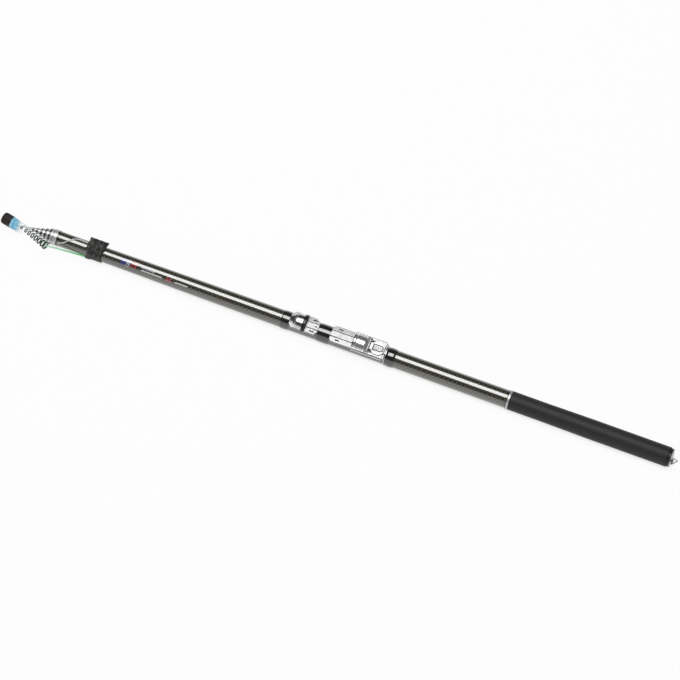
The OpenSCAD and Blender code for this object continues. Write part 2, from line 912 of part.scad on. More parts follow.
module lanyard_bail() {
    w = 2 * wire_r;
    t = w - 0.1;
    tip_y = bail_from + w;
    color("#9a9c9e")
        bail_frame() {
            translate([bail_x, bail_to, 0])
                rotate([90, 0, 0])
                    cylinder(h = bail_to - bail_from, r = wire_r);
            translate([0, 0, -t / 2])
                linear_extrude(t)
                    difference() {
                        polygon([
                            [bail_x, bail_from - wire_r], [bail_x + bail_reach, bail_from],
                            [bail_x + bail_reach + wire_r, tip_y - wire_r / 2],
                            [bail_x + bail_reach + wire_r / 2, tip_y + wire_r / 2],
                            [bail_x + wire_r, bail_to + wire_r], [bail_x, bail_to + wire_r]
                        ]);
                        polygon([
                            [bail_x - 1, bail_from + wire_r], [bail_x + bail_reach - w, tip_y],
                            [bail_x + wire_r, bail_to - w], [bail_x - 1, bail_to - wire_r]
                        ]);
                    }
        }
}

butt_blank();
butt_insert();
grip_sleeve();
grip_trim_ring();
grip_trim_band();
rear_wrap();
rear_wrap_ring();
rail_saddle();
middle_wrap();
front_saddle();
front_hood();
front_hood_lip();
front_wrap();
rod_strap();
tether_cord();
keeper_line();
mouth_wrap();
butt_guide_frame();
butt_guide_ring();
section_blank(0);  // section_2_blank
section_winding(0);  // section_2_winding
section_guide_frame(0);  // section_2_guide_frame
section_guide_ring(0);  // section_2_guide_ring
section_blank(1);  // section_3_blank
section_winding(1);  // section_3_winding
section_guide_frame(1);  // section_3_guide_frame
section_guide_ring(1);  // section_3_guide_ring
section_blank(2);  // section_4_blank
section_winding(2);  // section_4_winding
section_guide_frame(2);  // section_4_guide_frame
section_guide_ring(2);  // section_4_guide_ring
section_blank(3);  // section_5_blank
section_winding(3);  // section_5_winding
section_guide_frame(3);  // section_5_guide_frame
section_guide_ring(3);  // section_5_guide_ring
section_blank(4);  // section_6_blank
section_winding(4);  // section_6_winding
section_guide_frame(4);  // section_6_guide_frame
section_guide_ring(4);  // section_6_guide_ring
float_guide_frame();
float_guide_ring();
tip_blank();
tip_top_frame();
tip_top_ring();
guard_cup();
guard_cap();
guard_tether();
slide_hood();
lever_pin();
lock_lever();
butt_cap();
cap_gasket();
cap_pad();
cap_plate();
bail_eye();
lanyard_bail();
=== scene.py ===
"""Looks of a closed telescopic fishing rod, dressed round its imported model.

The rod axis is X, the butt points to +X, the reel seat faces +Z and the line
guides stand out towards -Y. Sizes are written in millimetres and become metres
where a mesh is made.
"""

import json
import logging
import math
from dataclasses import dataclass
from enum import Enum
from functools import partial
from typing import Any, Sequence

import bmesh
import bpy
import numpy as np
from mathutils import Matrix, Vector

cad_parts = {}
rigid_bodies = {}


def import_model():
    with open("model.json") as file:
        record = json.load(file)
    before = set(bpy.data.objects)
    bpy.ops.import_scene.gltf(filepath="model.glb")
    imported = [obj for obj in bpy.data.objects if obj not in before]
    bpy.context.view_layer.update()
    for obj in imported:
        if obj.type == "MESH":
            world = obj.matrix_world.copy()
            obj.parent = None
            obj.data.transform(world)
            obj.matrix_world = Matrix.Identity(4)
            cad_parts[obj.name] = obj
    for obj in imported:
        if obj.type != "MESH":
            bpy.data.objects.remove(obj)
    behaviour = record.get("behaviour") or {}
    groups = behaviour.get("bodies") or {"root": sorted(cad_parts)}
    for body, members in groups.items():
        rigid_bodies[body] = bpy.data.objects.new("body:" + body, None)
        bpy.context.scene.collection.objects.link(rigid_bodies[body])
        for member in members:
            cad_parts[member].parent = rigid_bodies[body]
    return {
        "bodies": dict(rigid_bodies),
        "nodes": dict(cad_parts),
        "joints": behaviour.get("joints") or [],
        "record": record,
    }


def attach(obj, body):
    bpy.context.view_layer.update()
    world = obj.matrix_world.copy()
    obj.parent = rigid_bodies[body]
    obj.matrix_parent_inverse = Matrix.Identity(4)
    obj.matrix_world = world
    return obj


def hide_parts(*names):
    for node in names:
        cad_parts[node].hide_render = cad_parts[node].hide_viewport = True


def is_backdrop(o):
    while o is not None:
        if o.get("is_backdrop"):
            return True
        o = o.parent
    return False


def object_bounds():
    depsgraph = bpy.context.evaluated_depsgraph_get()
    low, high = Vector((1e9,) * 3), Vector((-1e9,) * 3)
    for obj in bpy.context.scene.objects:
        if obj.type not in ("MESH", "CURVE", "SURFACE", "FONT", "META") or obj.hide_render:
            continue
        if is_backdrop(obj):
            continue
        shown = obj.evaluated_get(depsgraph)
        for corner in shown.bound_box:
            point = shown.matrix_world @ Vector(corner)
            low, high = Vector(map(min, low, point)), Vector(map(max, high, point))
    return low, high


LOG = logging.getLogger("rod")
MM = 0.001
UV_NAME = "surface"
MERGE_M = 1e-7
EMPTY_M = 1e-8
COPY_MERGE_M = 1e-6
COPY_FLAT_DEG = 0.5
COPY_SHARP_DEG = 30.0
BEVEL_DEG = 35.0
BEVEL_PARTS = 3
CUT_SHARE = 0.45
NEAR_SHARE = 0.3
Colour = tuple[float, float, float]
Material = bpy.types.Material
Piece = bpy.types.Object
Socket = bpy.types.NodeSocket


class Slot(Enum):
    """Material slots of the record."""

    WOVEN_CARBON = "woven_carbon"
    DARK_CARBON = "dark_carbon"
    WINDING = "gloss_winding"
    CHROME = "bright_chrome"
    STEEL = "plain_steel"
    CERAMIC = "ring_ceramic"
    FOAM = "foam"
    PLASTIC = "black_plastic"
    RUBBER = "black_rubber"
    STRAP = "strap_fabric"
    GREEN_CORD = "green_cord"
    PALE_CORD = "pale_cord"
    CLEAR_BLUE = "clear_blue"


class Axis(Enum):
    """Object axes that points can be turned about."""

    X = "X"
    Y = "Y"
    Z = "Z"


# Outlines and surfaces


def rounded(points: Sequence, radius: float, steps: int = 4, closed: bool = True) -> np.ndarray:
    """Round the corners of an outline.

    Each corner is cut back along both sides by the radius, or by 0.45 of the
    shorter side, and the quadratic curve between the two cuts takes its place.

    Args:
        points: Corners of the outline, one row each.
        radius: Length that is cut back at a corner.
        steps: Number of parts of each curve.
        closed: Whether the outline closes on itself; open ends stay sharp.

    Returns:
        The points of the rounded outline.
    """
    p = np.asarray(points, float)
    back, ahead = np.roll(p, 1, 0) - p, np.roll(p, -1, 0) - p
    back_len = np.linalg.norm(back, axis=1)
    ahead_len = np.linalg.norm(ahead, axis=1)
    cut = np.minimum(radius, CUT_SHARE * np.minimum(back_len, ahead_len))
    if not closed:
        cut[[0, -1]] = 0.0
    a = p + back * (cut / back_len)[:, None]
    b = p + ahead * (cut / ahead_len)[:, None]
    t = np.linspace(0.0, 1.0, steps + 1)[None, :, None]
    curve = (1 - t) ** 2 * a[:, None] + 2 * t * (1 - t) * p[:, None] + t**2 * b[:, None]
    flat = curve.reshape(-1, p.shape[1])
    fresh = np.r_[True, np.linalg.norm(np.diff(flat, axis=0), axis=1) > MERGE_M]
    return flat[fresh]


def dense(points: np.ndarray, step: float, closed: bool = False) -> np.ndarray:
    """Add points along an outline so that no side is longer than a step.

    Args:
        points: Points of the outline.
        step: Longest side that is left.
        closed: Whether the last point joins the first.

    Returns:
        The old points and the new ones, in order along the outline.
    """
    p = np.vstack([points, points[:1]]) if closed else np.asarray(points, float)
    reach = np.r_[0.0, np.cumsum(np.linalg.norm(np.diff(p, axis=0), axis=1))]
    extra = np.arange(0.0, reach[-1], step)
    near = np.abs(extra[:, None] - reach[None, :]).min(1)
    at = np.sort(np.r_[reach, extra[near > step * NEAR_SHARE]])
    found = np.stack([np.interp(at, reach, p[:, k]) for k in range(p.shape[1])], 1)
    return found[:-1] if closed else found


def ease(t: Any) -> Any:
    """Smooth step from 0 to 1 with level ends."""
    t = np.clip(t, 0.0, 1.0)
    return t * t * (3 - 2 * t)


def within(value: Any, half: float, soft: float) -> Any:
    """Share that is 1 near zero and falls smoothly to 0 over the last soft part before half."""
    return ease((half - np.abs(value)) / soft)


def turned(profile: Sequence, sides: int = 96) -> np.ndarray:
    """Turn an outline about the rod axis.

    A point [x, r] becomes the circle (x, r cos a, r sin a).

    Args:
        profile: Outline points, [x, r] each.
        sides: Number of points round the axis.

    Returns:
        Grid of points: one row for each outline point, one column for each angle.
    """
    p = np.asarray(profile, float)
    a = np.linspace(0.0, 2 * np.pi, sides, endpoint=False)
    x = np.repeat(p[:, :1], sides, 1)
    return np.stack([x, p[:, 1:] * np.cos(a), p[:, 1:] * np.sin(a)], -1)


def swept(path: np.ndarray, radius: Any, sides: int = 16, closed: bool = False) -> np.ndarray:
    """Carry a circle along a path.

    The circle at a point lies across the path's direction t there, on the axes
    u = t x z, made unit, and w = u x t.

    Args:
        path: Points of the centre line.
        radius: One radius, or one for each point.
        sides: Number of points round the path.
        closed: Whether the path is a loop.

    Returns:
        Grid of points: one row for each path point, one column for each angle.
    """
    p = np.asarray(path, float)
    if closed:
        t = np.roll(p, -1, 0) - np.roll(p, 1, 0)
    else:
        t = np.gradient(p, axis=0)
    t /= np.linalg.norm(t, axis=1, keepdims=True)
    u = np.cross(t, [0.0, 0.0, 1.0])
    u /= np.linalg.norm(u, axis=1, keepdims=True)
    w = np.cross(u, t)
    a = np.linspace(0.0, 2 * np.pi, sides, endpoint=False)[None, :, None]
    r = np.broadcast_to(np.asarray(radius, float), (len(p),))[:, None, None]
    return p[:, None] + r * (np.cos(a) * u[:, None] + np.sin(a) * w[:, None])


def turn_about(points: np.ndarray, axis: Axis, degrees: float) -> np.ndarray:
    """Turn points about an object axis by the right-hand rule.

    Args:
        points: Points, with their three places last.
        axis: Axis of the turn.
        degrees: Angle of the turn.

    Returns:
        The turned points.
    """
    c, s = math.cos(math.radians(degrees)), math.sin(math.radians(degrees))
    matrix = {
        Axis.X: [[1, 0, 0], [0, c, -s], [0, s, c]],
        Axis.Y: [[c, 0, s], [0, 1, 0], [-s, 0, c]],
        Axis.Z: [[c, -s, 0], [s, c, 0], [0, 0, 1]],
    }[axis]
    return points @ np.array(matrix).T


def inside_depth(corners: Sequence, x: np.ndarray, y: np.ndarray) -> np.ndarray:
    """Depth of points inside a convex outline, below zero outside.

    The depth is the least of the distances to the lines through the sides.

    Args:
        corners: Corners [x, y] in order against the clock.
        x: Places along X.
        y: Places along Y.

    Returns:
        The depth at each point.
    """
    a = np.asarray(corners, float)
    side = np.roll(a, -1, 0) - a
    side /= np.linalg.norm(side, axis=1, keepdims=True)
    far = [s[0] * (y - c[1]) - s[1] * (x - c[0]) for s, c in zip(side, a)]
    return np.minimum.reduce(far)


def wafer(outline: np.ndarray, low: float, high: float, edge: float, rows: int = 3) -> np.ndarray:
    """Stretch a flat outline into a closed slab with rounded rims.

    Each row is the outline drawn in towards its middle by a share, at a height
    of its own: from the middle of the lower face round the rim to the middle
    of the upper face.

    Args:
        outline: Points [u, v] of the outline, one loop.
        low: Height of the lower face.
        high: Height of the upper face.
        edge: Radius of the rims.
        rows: Number of rows on the upper face inside its rim.

    Returns:
        Grid of points [u, v, height].
    """
    middle = outline.mean(0)
    size = np.linalg.norm(outline - middle, axis=1).min()
    a = np.linspace(0.0, np.pi / 2, 5)
    rim = 1 - edge * (1 - np.sin(a)) / size
    lift = edge * (1 - np.cos(a))
    face = np.linspace(rim[0], 0.0, rows + 1)[1:]
    share = np.r_[0.0, rim, rim[::-1], face]
    height = np.r_[low, low + lift, high - lift[::-1], np.full(rows, high)]
    flat = middle + (outline - middle)[None] * share[:, None, None]
    return np.dstack([flat, np.broadcast_to(height[:, None], flat.shape[:2])])


def extruded(cross: np.ndarray, x: np.ndarray) -> np.ndarray:
    """Carry a cross outline along X.

    Args:
        cross: Outline points, [y, z] each.
        x: Places of the rows.

    Returns:
        Grid of points: one row for each place, one column for each outline point.
    """
    along = np.repeat(x[:, None], len(cross), 1)
    return np.dstack([along, *(np.repeat(cross[None, :, k], len(x), 0) for k in (0, 1))])


@dataclass
class Shell:
    """One closed surface as a grid of points.

    Attributes:
        points: Rows, columns and the three places of each point.
        rows_close: Whether the last row joins the first.
        capped: Whether a flat face closes the first and the last row.
        finish: Number of the finish in the piece's list.
    """

    points: np.ndarray
    rows_close: bool = False
    capped: bool = False
    finish: int = 0

    def faces(self, first: int) -> tuple[list, np.ndarray]:
        """List the faces and their pattern coordinates.

        Across a row the pattern coordinate is the share of the way round, and
        from row to row it is the distance along the first column in millimetres.

        Args:
            first: Number of this shell's first point in the whole mesh.

        Returns:
            The faces' point numbers, and one coordinate pair for each corner.
        """
        rows, cols = self.points.shape[:2]
        i, j = np.meshgrid(
            np.arange(rows if self.rows_close else rows - 1), np.arange(cols), indexing="ij"
        )
        nxt, over = (i + 1) % rows, (j + 1) % cols
        quads = np.stack([i * cols + j, i * cols + over, nxt * cols + over, nxt * cols + j], -1)
        lead = np.vstack([self.points[:, 0], self.points[:1, 0]])
        far = np.r_[0.0, np.cumsum(np.linalg.norm(np.diff(lead, axis=0), axis=1))]
        across = np.stack([j, j + 1, j + 1, j], -1) / cols
        along = np.stack([far[i], far[i], far[i + 1], far[i + 1]], -1)
        uv = np.stack([across, along], -1).reshape(-1, 2)
        listed = (quads.reshape(-1, 4) + first).tolist()
        if self.capped:
            ring = np.arange(cols)
            listed += [(ring[::-1] + first).tolist(), (ring + (rows - 1) * cols + first).tolist()]
            spin = np.stack([ring / cols, np.zeros(cols)], 1)
            uv = np.vstack([uv, spin[::-1], spin])
        return listed, uv


def settle(mesh: bpy.types.Mesh, sharp_deg: float) -> None:
    """Merge doubles, drop empty faces, point faces outwards and set smooth shading.

    Args:
        mesh: Mesh that is settled.
        sharp_deg: Edges turned by more than this stay sharp.
    """
    work = bmesh.new()
    work.from_mesh(mesh)
    bmesh.ops.remove_doubles(work, verts=work.verts, dist=MERGE_M)
    bmesh.ops.dissolve_degenerate(work, edges=work.edges, dist=EMPTY_M)
    bmesh.ops.recalc_face_normals(work, faces=work.faces)
    work.to_mesh(mesh)
    work.free()
    mesh.shade_smooth()
    mesh.set_sharp_from_angle(angle=math.radians(sharp_deg))


def place_piece(piece: Piece, body: str, stands_for: Sequence[str]) -> Piece:
    """Ride a piece on its body, and hide the nodes that it stands for.

    Args:
        piece: New object.
        body: Body that it rides on.
        stands_for: Nodes that it takes the place of.

    Returns:
        The same object.
    """
    bpy.context.scene.collection.objects.link(piece)
    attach(piece, body)
    if stands_for:
        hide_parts(*stands_for)
    LOG.info("%s rides on %s, %d faces", piece.name, body, len(piece.data.polygons))
    return piece


def make_piece(
    name: str,
    shells: Sequence[Shell],
    finishes: Sequence[Material],
    body: str,
    stands_for: Sequence[str] = (),
    sharp_deg: float = 40.0,
) -> Piece:
    """Make one piece from its shells.

    Args:
        name: Name of the piece.
        shells: Closed surfaces, in millimetres.
        finishes: Materials that the shells number.
        body: Body that the piece rides on.
        stands_for: Nodes that the piece takes the place of.
        sharp_deg: Edges turned by more than this stay sharp.

    Returns:
        The new object.
    """
    points = np.vstack([s.points.reshape(-1, 3) for s in shells]) * MM
    starts = np.r_[0, np.cumsum([s.points.shape[0] * s.points.shape[1] for s in shells])]
    faces, coords, numbers = [], [], []
    for shell, first in zip(shells, starts):
        listed, uv = shell.faces(int(first))
        faces += listed
        coords.append(uv)
        numbers += [shell.finish] * len(listed)
    mesh = bpy.data.meshes.new(name)
    mesh.from_pydata(points.tolist(), [], faces)
    layer = mesh.uv_layers.new(name=UV_NAME)
    layer.data.foreach_set("uv", np.vstack(coords).astype(np.float32).ravel())
    for finish in finishes:
        mesh.materials.append(finish)
    mesh.polygons.foreach_set("material_index", np.array(numbers, np.int32))
    settle(mesh, sharp_deg)
    return place_piece(bpy.data.objects.new(name, mesh), body, stands_for)


def soften_node(
    name: str, node: str, finish: Material, body: str, edge: float
) -> Piece:
    """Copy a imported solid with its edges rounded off.

    Args:
        name: Name of the new piece.
        node: Node that is copied and then hidden.
        finish: Material of the piece.
        body: Body that it rides on.
        edge: Width of the rounded edges in millimetres.

    Returns:
        The new object, with a Bevel modifier.
    """
    mesh = bpy.data.objects[node].data.copy()
    mesh.name = name
    mesh.materials.clear()
    mesh.materials.append(finish)
    work = bmesh.new()
    work.from_mesh(mesh)
    bmesh.ops.remove_doubles(work, verts=work.verts, dist=COPY_MERGE_M)
    bmesh.ops.dissolve_limit(
        work, angle_limit=math.radians(COPY_FLAT_DEG), verts=work.verts, edges=work.edges
    )
    for face in work.faces:
        face.material_index = 0
    work.to_mesh(mesh)
    work.free()
    mesh.shade_smooth()
    mesh.set_sharp_from_angle(angle=math.radians(COPY_SHARP_DEG))
    piece = bpy.data.objects.new(name, mesh)
    bevel = piece.modifiers.new("rounded_edges", "BEVEL")
    bevel.width = edge * MM
    bevel.segments = BEVEL_PARTS
    bevel.limit_method = "ANGLE"
    bevel.angle_limit = math.radians(BEVEL_DEG)
    bevel.use_clamp_overlap = True
    bevel.harden_normals = True
    return place_piece(piece, body, [node])


# Finishes


class Shader:
    """Builder of one node material round a Principled surface."""

    def __init__(self, name: str) -> None:
        """Start a material of that name with a plain surface.

        Args:
            name: Name of the material.
        """
        self.material = bpy.data.materials.new(name)
        self.material.use_nodes = True
        self.tree = self.material.node_tree
        self.tree.nodes.clear()
        self.surface = self.add("ShaderNodeBsdfPrincipled")
        self.out = self.add("ShaderNodeOutputMaterial")
        self.tree.links.new(self.surface.outputs[0], self.out.inputs[0])

    def add(self, kind: str, **settings: Any) -> bpy.types.Node:
        """Add a node and set its properties.

        Args:
            kind: Type of the node.
            settings: Properties by name.

        Returns:
            The new node.
        """
        node = self.tree.nodes.new(kind)
        for key, value in settings.items():
            setattr(node, key, value)
        return node

    def feed(self, source: Any, target: Socket) -> None:
        """Link a socket to an input, or set the input to a plain value.

        Args:
            source: Socket or plain value.
            target: Input that takes it.
        """
        if isinstance(source, Socket):
            self.tree.links.new(source, target)
        else:
            target.default_value = source

    def set(self, **values: Any) -> None:
        """Set or link inputs of the surface; spaces are written as underscores."""
        for key, value in values.items():
            self.feed(value, self.surface.inputs[key.replace("_", " ")])

    def math(self, operation: str, a: Any, b: Any = 0.0) -> Socket:
        """Work out one sum.

        Args:
            operation: Kind of sum.
            a: First socket or value.
            b: Second socket or value.

        Returns:
            The result.
        """
        node = self.add("ShaderNodeMath", operation=operation)
        self.feed(a, node.inputs[0])
        self.feed(b, node.inputs[1])
        return node.outputs[0]

    def object_place(self) -> Socket:
        """Give the object coordinates as one vector, in metres."""
        return self.add("ShaderNodeTexCoord").outputs["Object"]

    def parts(self, vector: Socket) -> list[Socket]:
        """Split a vector into its three values.

        Args:
            vector: Socket of the vector.

        Returns:
            The sockets of its values.
        """
        split = self.add("ShaderNodeSeparateXYZ")
        self.feed(vector, split.inputs[0])
        return list(split.outputs)

    def object_xyz(self) -> list[Socket]:
        """Give the object coordinates as three sockets, in metres."""
        return self.parts(self.object_place())

    def surface_uv(self) -> list[Socket]:
        """Give the share round a piece and the millimetres along it."""
        return self.parts(self.add("ShaderNodeUVMap", uv_map=UV_NAME).outputs[0])[:2]

    def vector(self, x: Any, y: Any = 0.0, z: Any = 0.0) -> Socket:
        """Join three values in a vector.

        Args:
            x: First value.
            y: Second value.
            z: Third value.

        Returns:
            The vector.
        """
        node = self.add("ShaderNodeCombineXYZ")
        for value, target in zip((x, y, z), node.inputs):
            self.feed(value, target)
        return node.outputs[0]

    def noise(self, where: Socket | None, scale: float, detail: float = 3.0) -> Socket:
        """Give soft noise from 0 to 1.

        Args:
            where: Place in the noise, or None for object coordinates.
            scale: Patches for each unit of length.
            detail: Number of finer layers.

        Returns:
            The noise.
        """
        node = self.add("ShaderNodeTexNoise")
        self.feed(self.object_place() if where is None else where, node.inputs["Vector"])
        node.inputs["Scale"].default_value = scale
        node.inputs["Detail"].default_value = detail
        return node.outputs[0]

    def cells(self, scale: float) -> Socket:
        """Give the distance to the nearest of scattered points.

        Args:
            scale: Points for each metre.

        Returns:
            The distance, as a share of the points' spacing.
        """
        node = self.add("ShaderNodeTexVoronoi")
        self.feed(self.object_place(), node.inputs["Vector"])
        node.inputs["Scale"].default_value = scale
        return node.outputs["Distance"]

    def span(self, value: Any, low: float, high: float, to_low: float, to_high: float) -> Socket:
        """Map a range of values smoothly onto another.

        Args:
            value: Value that is mapped.
            low: Start of its range.
            high: End of its range.
            to_low: Result at the start.
            to_high: Result at the end.

        Returns:
            The mapped value.
        """
        node = self.add("ShaderNodeMapRange", interpolation_type="SMOOTHSTEP")
        for key, item in enumerate((value, low, high, to_low, to_high)):
            self.feed(item, node.inputs[key])
        return node.outputs[0]

    def ridges(self, value: Socket, pitch: float) -> Socket:
        """Give a smooth wave from 0 to 1 that repeats after each pitch of the value."""
        turns = self.math("MULTIPLY", value, 2 * math.pi / pitch)
        return self.span(self.math("SINE", turns), -1.0, 1.0, 0.0, 1.0)

    def blend(self, share: Any, low: Any, high: Any) -> Socket:
        """Mix two colours.

        Args:
            share: Share of the second colour.
            low: First colour.
            high: Second colour.

        Returns:
            The mixed colour.
        """
        node = self.add("ShaderNodeMix", data_type="RGBA")
        for value, key in ((share, 0), (low, 6), (high, 7)):
            self.feed((*value, 1.0) if isinstance(value, tuple) else value, node.inputs[key])
        return node.outputs[2]

    def relief(self, height: Socket, depth_mm: float, strength: float = 1.0) -> None:
        """Bump the surface.

        Args:
            height: Height from 0 to 1.
            depth_mm: Depth of the bump at height 1.
            strength: Share of the bump that is used.
        """
        node = self.add("ShaderNodeBump")
        node.inputs["Strength"].default_value = strength
        node.inputs["Distance"].default_value = depth_mm * MM
        self.feed(height, node.inputs["Height"])
        self.feed(node.outputs[0], self.surface.inputs["Normal"])


def shaded(tone: Colour, share: float) -> Colour:
    """Colour times a share."""
    return tuple(c * share for c in tone)


@dataclass(frozen=True)
class WovenCarbon:
    """Clear-coated plain weave, with tows round and along the rod."""

    cells_round: float = 22.0
    cell_mm: float = 3.36
    seam: float = 0.14
    fibres: float = 26.0
    dark: Colour = (0.0030, 0.0025, 0.0009)
    olive: Colour = (0.088, 0.078, 0.033)
    coat_ior: float = 2.1

    def paint(self) -> Material:
        """Make the material.

        Returns:
            The new material.
        """
        s = Shader("woven_carbon_weave")
        u, v = s.surface_uv()
        round_at = s.math("MULTIPLY", u, self.cells_round)
        along_at = s.math("DIVIDE", v, self.cell_mm)
        count = s.math("ADD", s.math("FLOOR", round_at), s.math("FLOOR", along_at))
        odd = s.math("MODULO", count, 2.0)
        rises = [
            s.span(s.math("PINGPONG", at, 0.5), 0.0, self.seam, 0.0, 1.0)
            for at in (round_at, along_at)
        ]
        crown = s.math("MULTIPLY", *rises)
        fine_round = s.math("MULTIPLY", round_at, self.fibres)
        fine_along = s.math("MULTIPLY", along_at, self.fibres)
        warp = s.noise(s.vector(fine_round, along_at), 1.0, 2.0)
        weft = s.noise(s.vector(round_at, fine_along, 9.0), 1.0, 2.0)
        bright = s.blend(warp, shaded(self.olive, 0.55), self.olive)
        shade = s.blend(weft, self.dark, shaded(self.dark, 2.0))
        edge = s.span(crown, 0.0, 1.0, 0.6, 0.0)
        s.set(
            Base_Color=s.blend(edge, s.blend(odd, bright, shade), self.dark),
            Roughness=s.span(odd, 0.0, 1.0, 0.34, 0.46),
            Coat_Weight=1.0,
            Coat_Roughness=0.035,
            Coat_IOR=self.coat_ior,
        )
        s.relief(crown, 0.05)
        return s.material


@dataclass(frozen=True)
class PlainCarbon:
    """Clear-coated tube with fibres along it and fine wound rings."""

    ring_mm: float = 0.9
    streaks: float = 160.0
    streak_per_mm: float = 0.06
    low: Colour = (0.008, 0.008, 0.009)
    high: Colour = (0.034, 0.033, 0.032)
    groove: Colour = (0.004, 0.004, 0.005)
    coat_ior: float = 2.0

    def paint(self) -> Material:
        """Make the material.

        Returns:
            The new material.
        """
        s = Shader("plain_carbon_tube")
        u, v = s.surface_uv()
        where = s.vector(
            s.math("MULTIPLY", u, self.streaks), s.math("MULTIPLY", v, self.streak_per_mm)
        )
        ring = s.math("PINGPONG", s.math("DIVIDE", v, self.ring_mm), 0.5)
        tone = s.blend(s.noise(where, 1.0), self.low, self.high)
        s.set(
            Base_Color=s.blend(s.span(ring, 0.0, 0.12, 0.6, 0.0), tone, self.groove),
            Roughness=0.38,
            Coat_Weight=1.0,
            Coat_Roughness=0.06,
            Coat_IOR=self.coat_ior,
        )
        s.relief(ring, 0.02)
        return s.material


@dataclass(frozen=True)
class LacqueredThread:
    """Black thread turns seen faintly under thick gloss lacquer."""

    pitch_mm: float = 0.32
    low: Colour = (0.0012, 0.0012, 0.0013)
    high: Colour = (0.004, 0.004, 0.0045)
    fleck: Colour = (0.009, 0.009, 0.010)
    coat_ior: float = 2.0

    def paint(self) -> Material:
        """Make the material.

        Returns:
            The new material.
        """
        s = Shader("lacquered_thread")
        ridge = s.ridges(s.object_xyz()[0], self.pitch_mm * MM)
        flecks = s.span(s.noise(None, 900.0), 0.55, 0.8, 0.0, 0.4)
        s.set(
            Base_Color=s.blend(flecks, s.blend(ridge, self.low, self.high), self.fleck),
            Roughness=0.55,
            Specular_IOR_Level=0.2,
            Coat_Weight=1.0,
            Coat_Roughness=0.03,
            Coat_IOR=self.coat_ior,
        )
        s.relief(ridge, 0.04)
        return s.material


@dataclass(frozen=True)
class TopFace:
    """Upper face of a pressed piece, whose sunk lines and edge line are darkened with painted
    shade.

    Attributes:
        height: Height of its flat land over the rod axis.
        land: Half width of the land.
        fall: Drop of the facets beside the land for each millimetre.
        edge: Half width at which a painted dark edge line starts.
        line_wide: Width over which the edge line comes in.
        dark_from: Depths between which painted shade comes in over a hollow.
        dark_to: Depths between which the painted shade ends.
    """

    height: float
    land: float = 20.0
    fall: float = 0.0
    edge: float = 20.0
    line_wide: float = 0.25
    dark_from: tuple[float, float] = (0.10, 0.32)
    dark_to: tuple[float, float] = (0.95, 1.3)

    def painted_shade(self, s: Shader) -> Socket:
        """Share of painted shade: high in hollows and on the edge line, 0 far below the top.

        Args:
            s: Builder of the material.

        Returns:
            The share.
        """
        y, z = s.object_xyz()[1:]
        side = s.math("ABSOLUTE", y)
        aside = s.math("MAXIMUM", s.math("SUBTRACT", side, self.land * MM), 0.0)
        level = s.math("SUBTRACT", self.height * MM, s.math("MULTIPLY", aside, self.fall))
        depth = s.math("SUBTRACT", level, z)
        # painted shade: a hollow sunk below the top turns dark
        hollow = s.span(depth, *(d * MM for d in self.dark_from), 0.0, 0.9)
        # painted shade: a dark line along the side edges of the top
        line = s.span(side, self.edge * MM, (self.edge + self.line_wide) * MM, 0.0, 0.75)
        near = s.span(depth, *(d * MM for d in self.dark_to), 1.0, 0.0)
        return s.math("MULTIPLY", s.math("MAXIMUM", hollow, line), near)


@dataclass(frozen=True)
class Plating:
    """Plated metal with fine polishing lines, faint smears and, where it has a top face, painted
    shade in its sunk lines.

    Attributes:
        name: Name of the material.
        tone: Colour of the metal.
        smooth: Roughness where it is polished.
        worn: Roughness where it is smeared.
        metal: Share of mirror-like metal; the rest is a frosted bloom.
        top: Upper face whose sunk lines get painted shade, if it has one.
        painted_shade: Colour of the painted shade in the sunk lines and on the edge line.
        lines_along: Changes of a polishing line for each metre along X.
        lines_across: Polishing lines for each metre across.
    """

    name: str
    tone: Colour
    smooth: float
    worn: float
    metal: float = 1.0
    top: TopFace | None = None
    painted_shade: Colour = (0.02, 0.02, 0.021)
    lines_along: float = 300.0
    lines_across: float = 9000.0

    def paint(self) -> Material:
        """Make the material.

        Returns:
            The new material.
        """
        s = Shader(self.name)
        scales = (self.lines_along, self.lines_across, self.lines_across)
        where = [s.math("MULTIPLY", at, k) for at, k in zip(s.object_xyz(), scales)]
        lines = s.noise(s.vector(*where), 1.0)
        smear = s.noise(None, 140.0, 4.0)
        smears = s.span(smear, 0.35, 0.75, 0.0, 1.0)
        clean = s.blend(smears, self.tone, shaded(self.tone, 0.86))
        wear = s.math("MULTIPLY", lines, smear)
        # the base colour takes the painted shade of the top face's sunk lines and edge line
        s.set(
            Base_Color=s.blend(self.top.painted_shade(s) if self.top else 0.0, clean, self.painted_shade),
            Metallic=self.metal,
            Roughness=s.span(wear, 0.1, 0.45, self.smooth, self.worn),
        )
        s.relief(lines, 0.004)
        return s.material


@dataclass(frozen=True)
class RingCeramic:
    """Polished dark green ring with a slightly cloudy body."""

    low: Colour = (0.005, 0.030, 0.019)
    high: Colour = (0.016, 0.080, 0.052)

    def paint(self) -> Material:
        """Make the material.

        Returns:
            The new material.
        """
        s = Shader("ring_ceramic_green")
        cloud = s.noise(None, 700.0)
        s.set(
            Base_Color=s.blend(cloud, self.low, self.high),
            Roughness=s.span(cloud, 0.2, 0.8, 0.10, 0.2),
            Specular_IOR_Level=0.6,
            Coat_Weight=0.6,
            Coat_Roughness=0.04,
        )
        return s.material


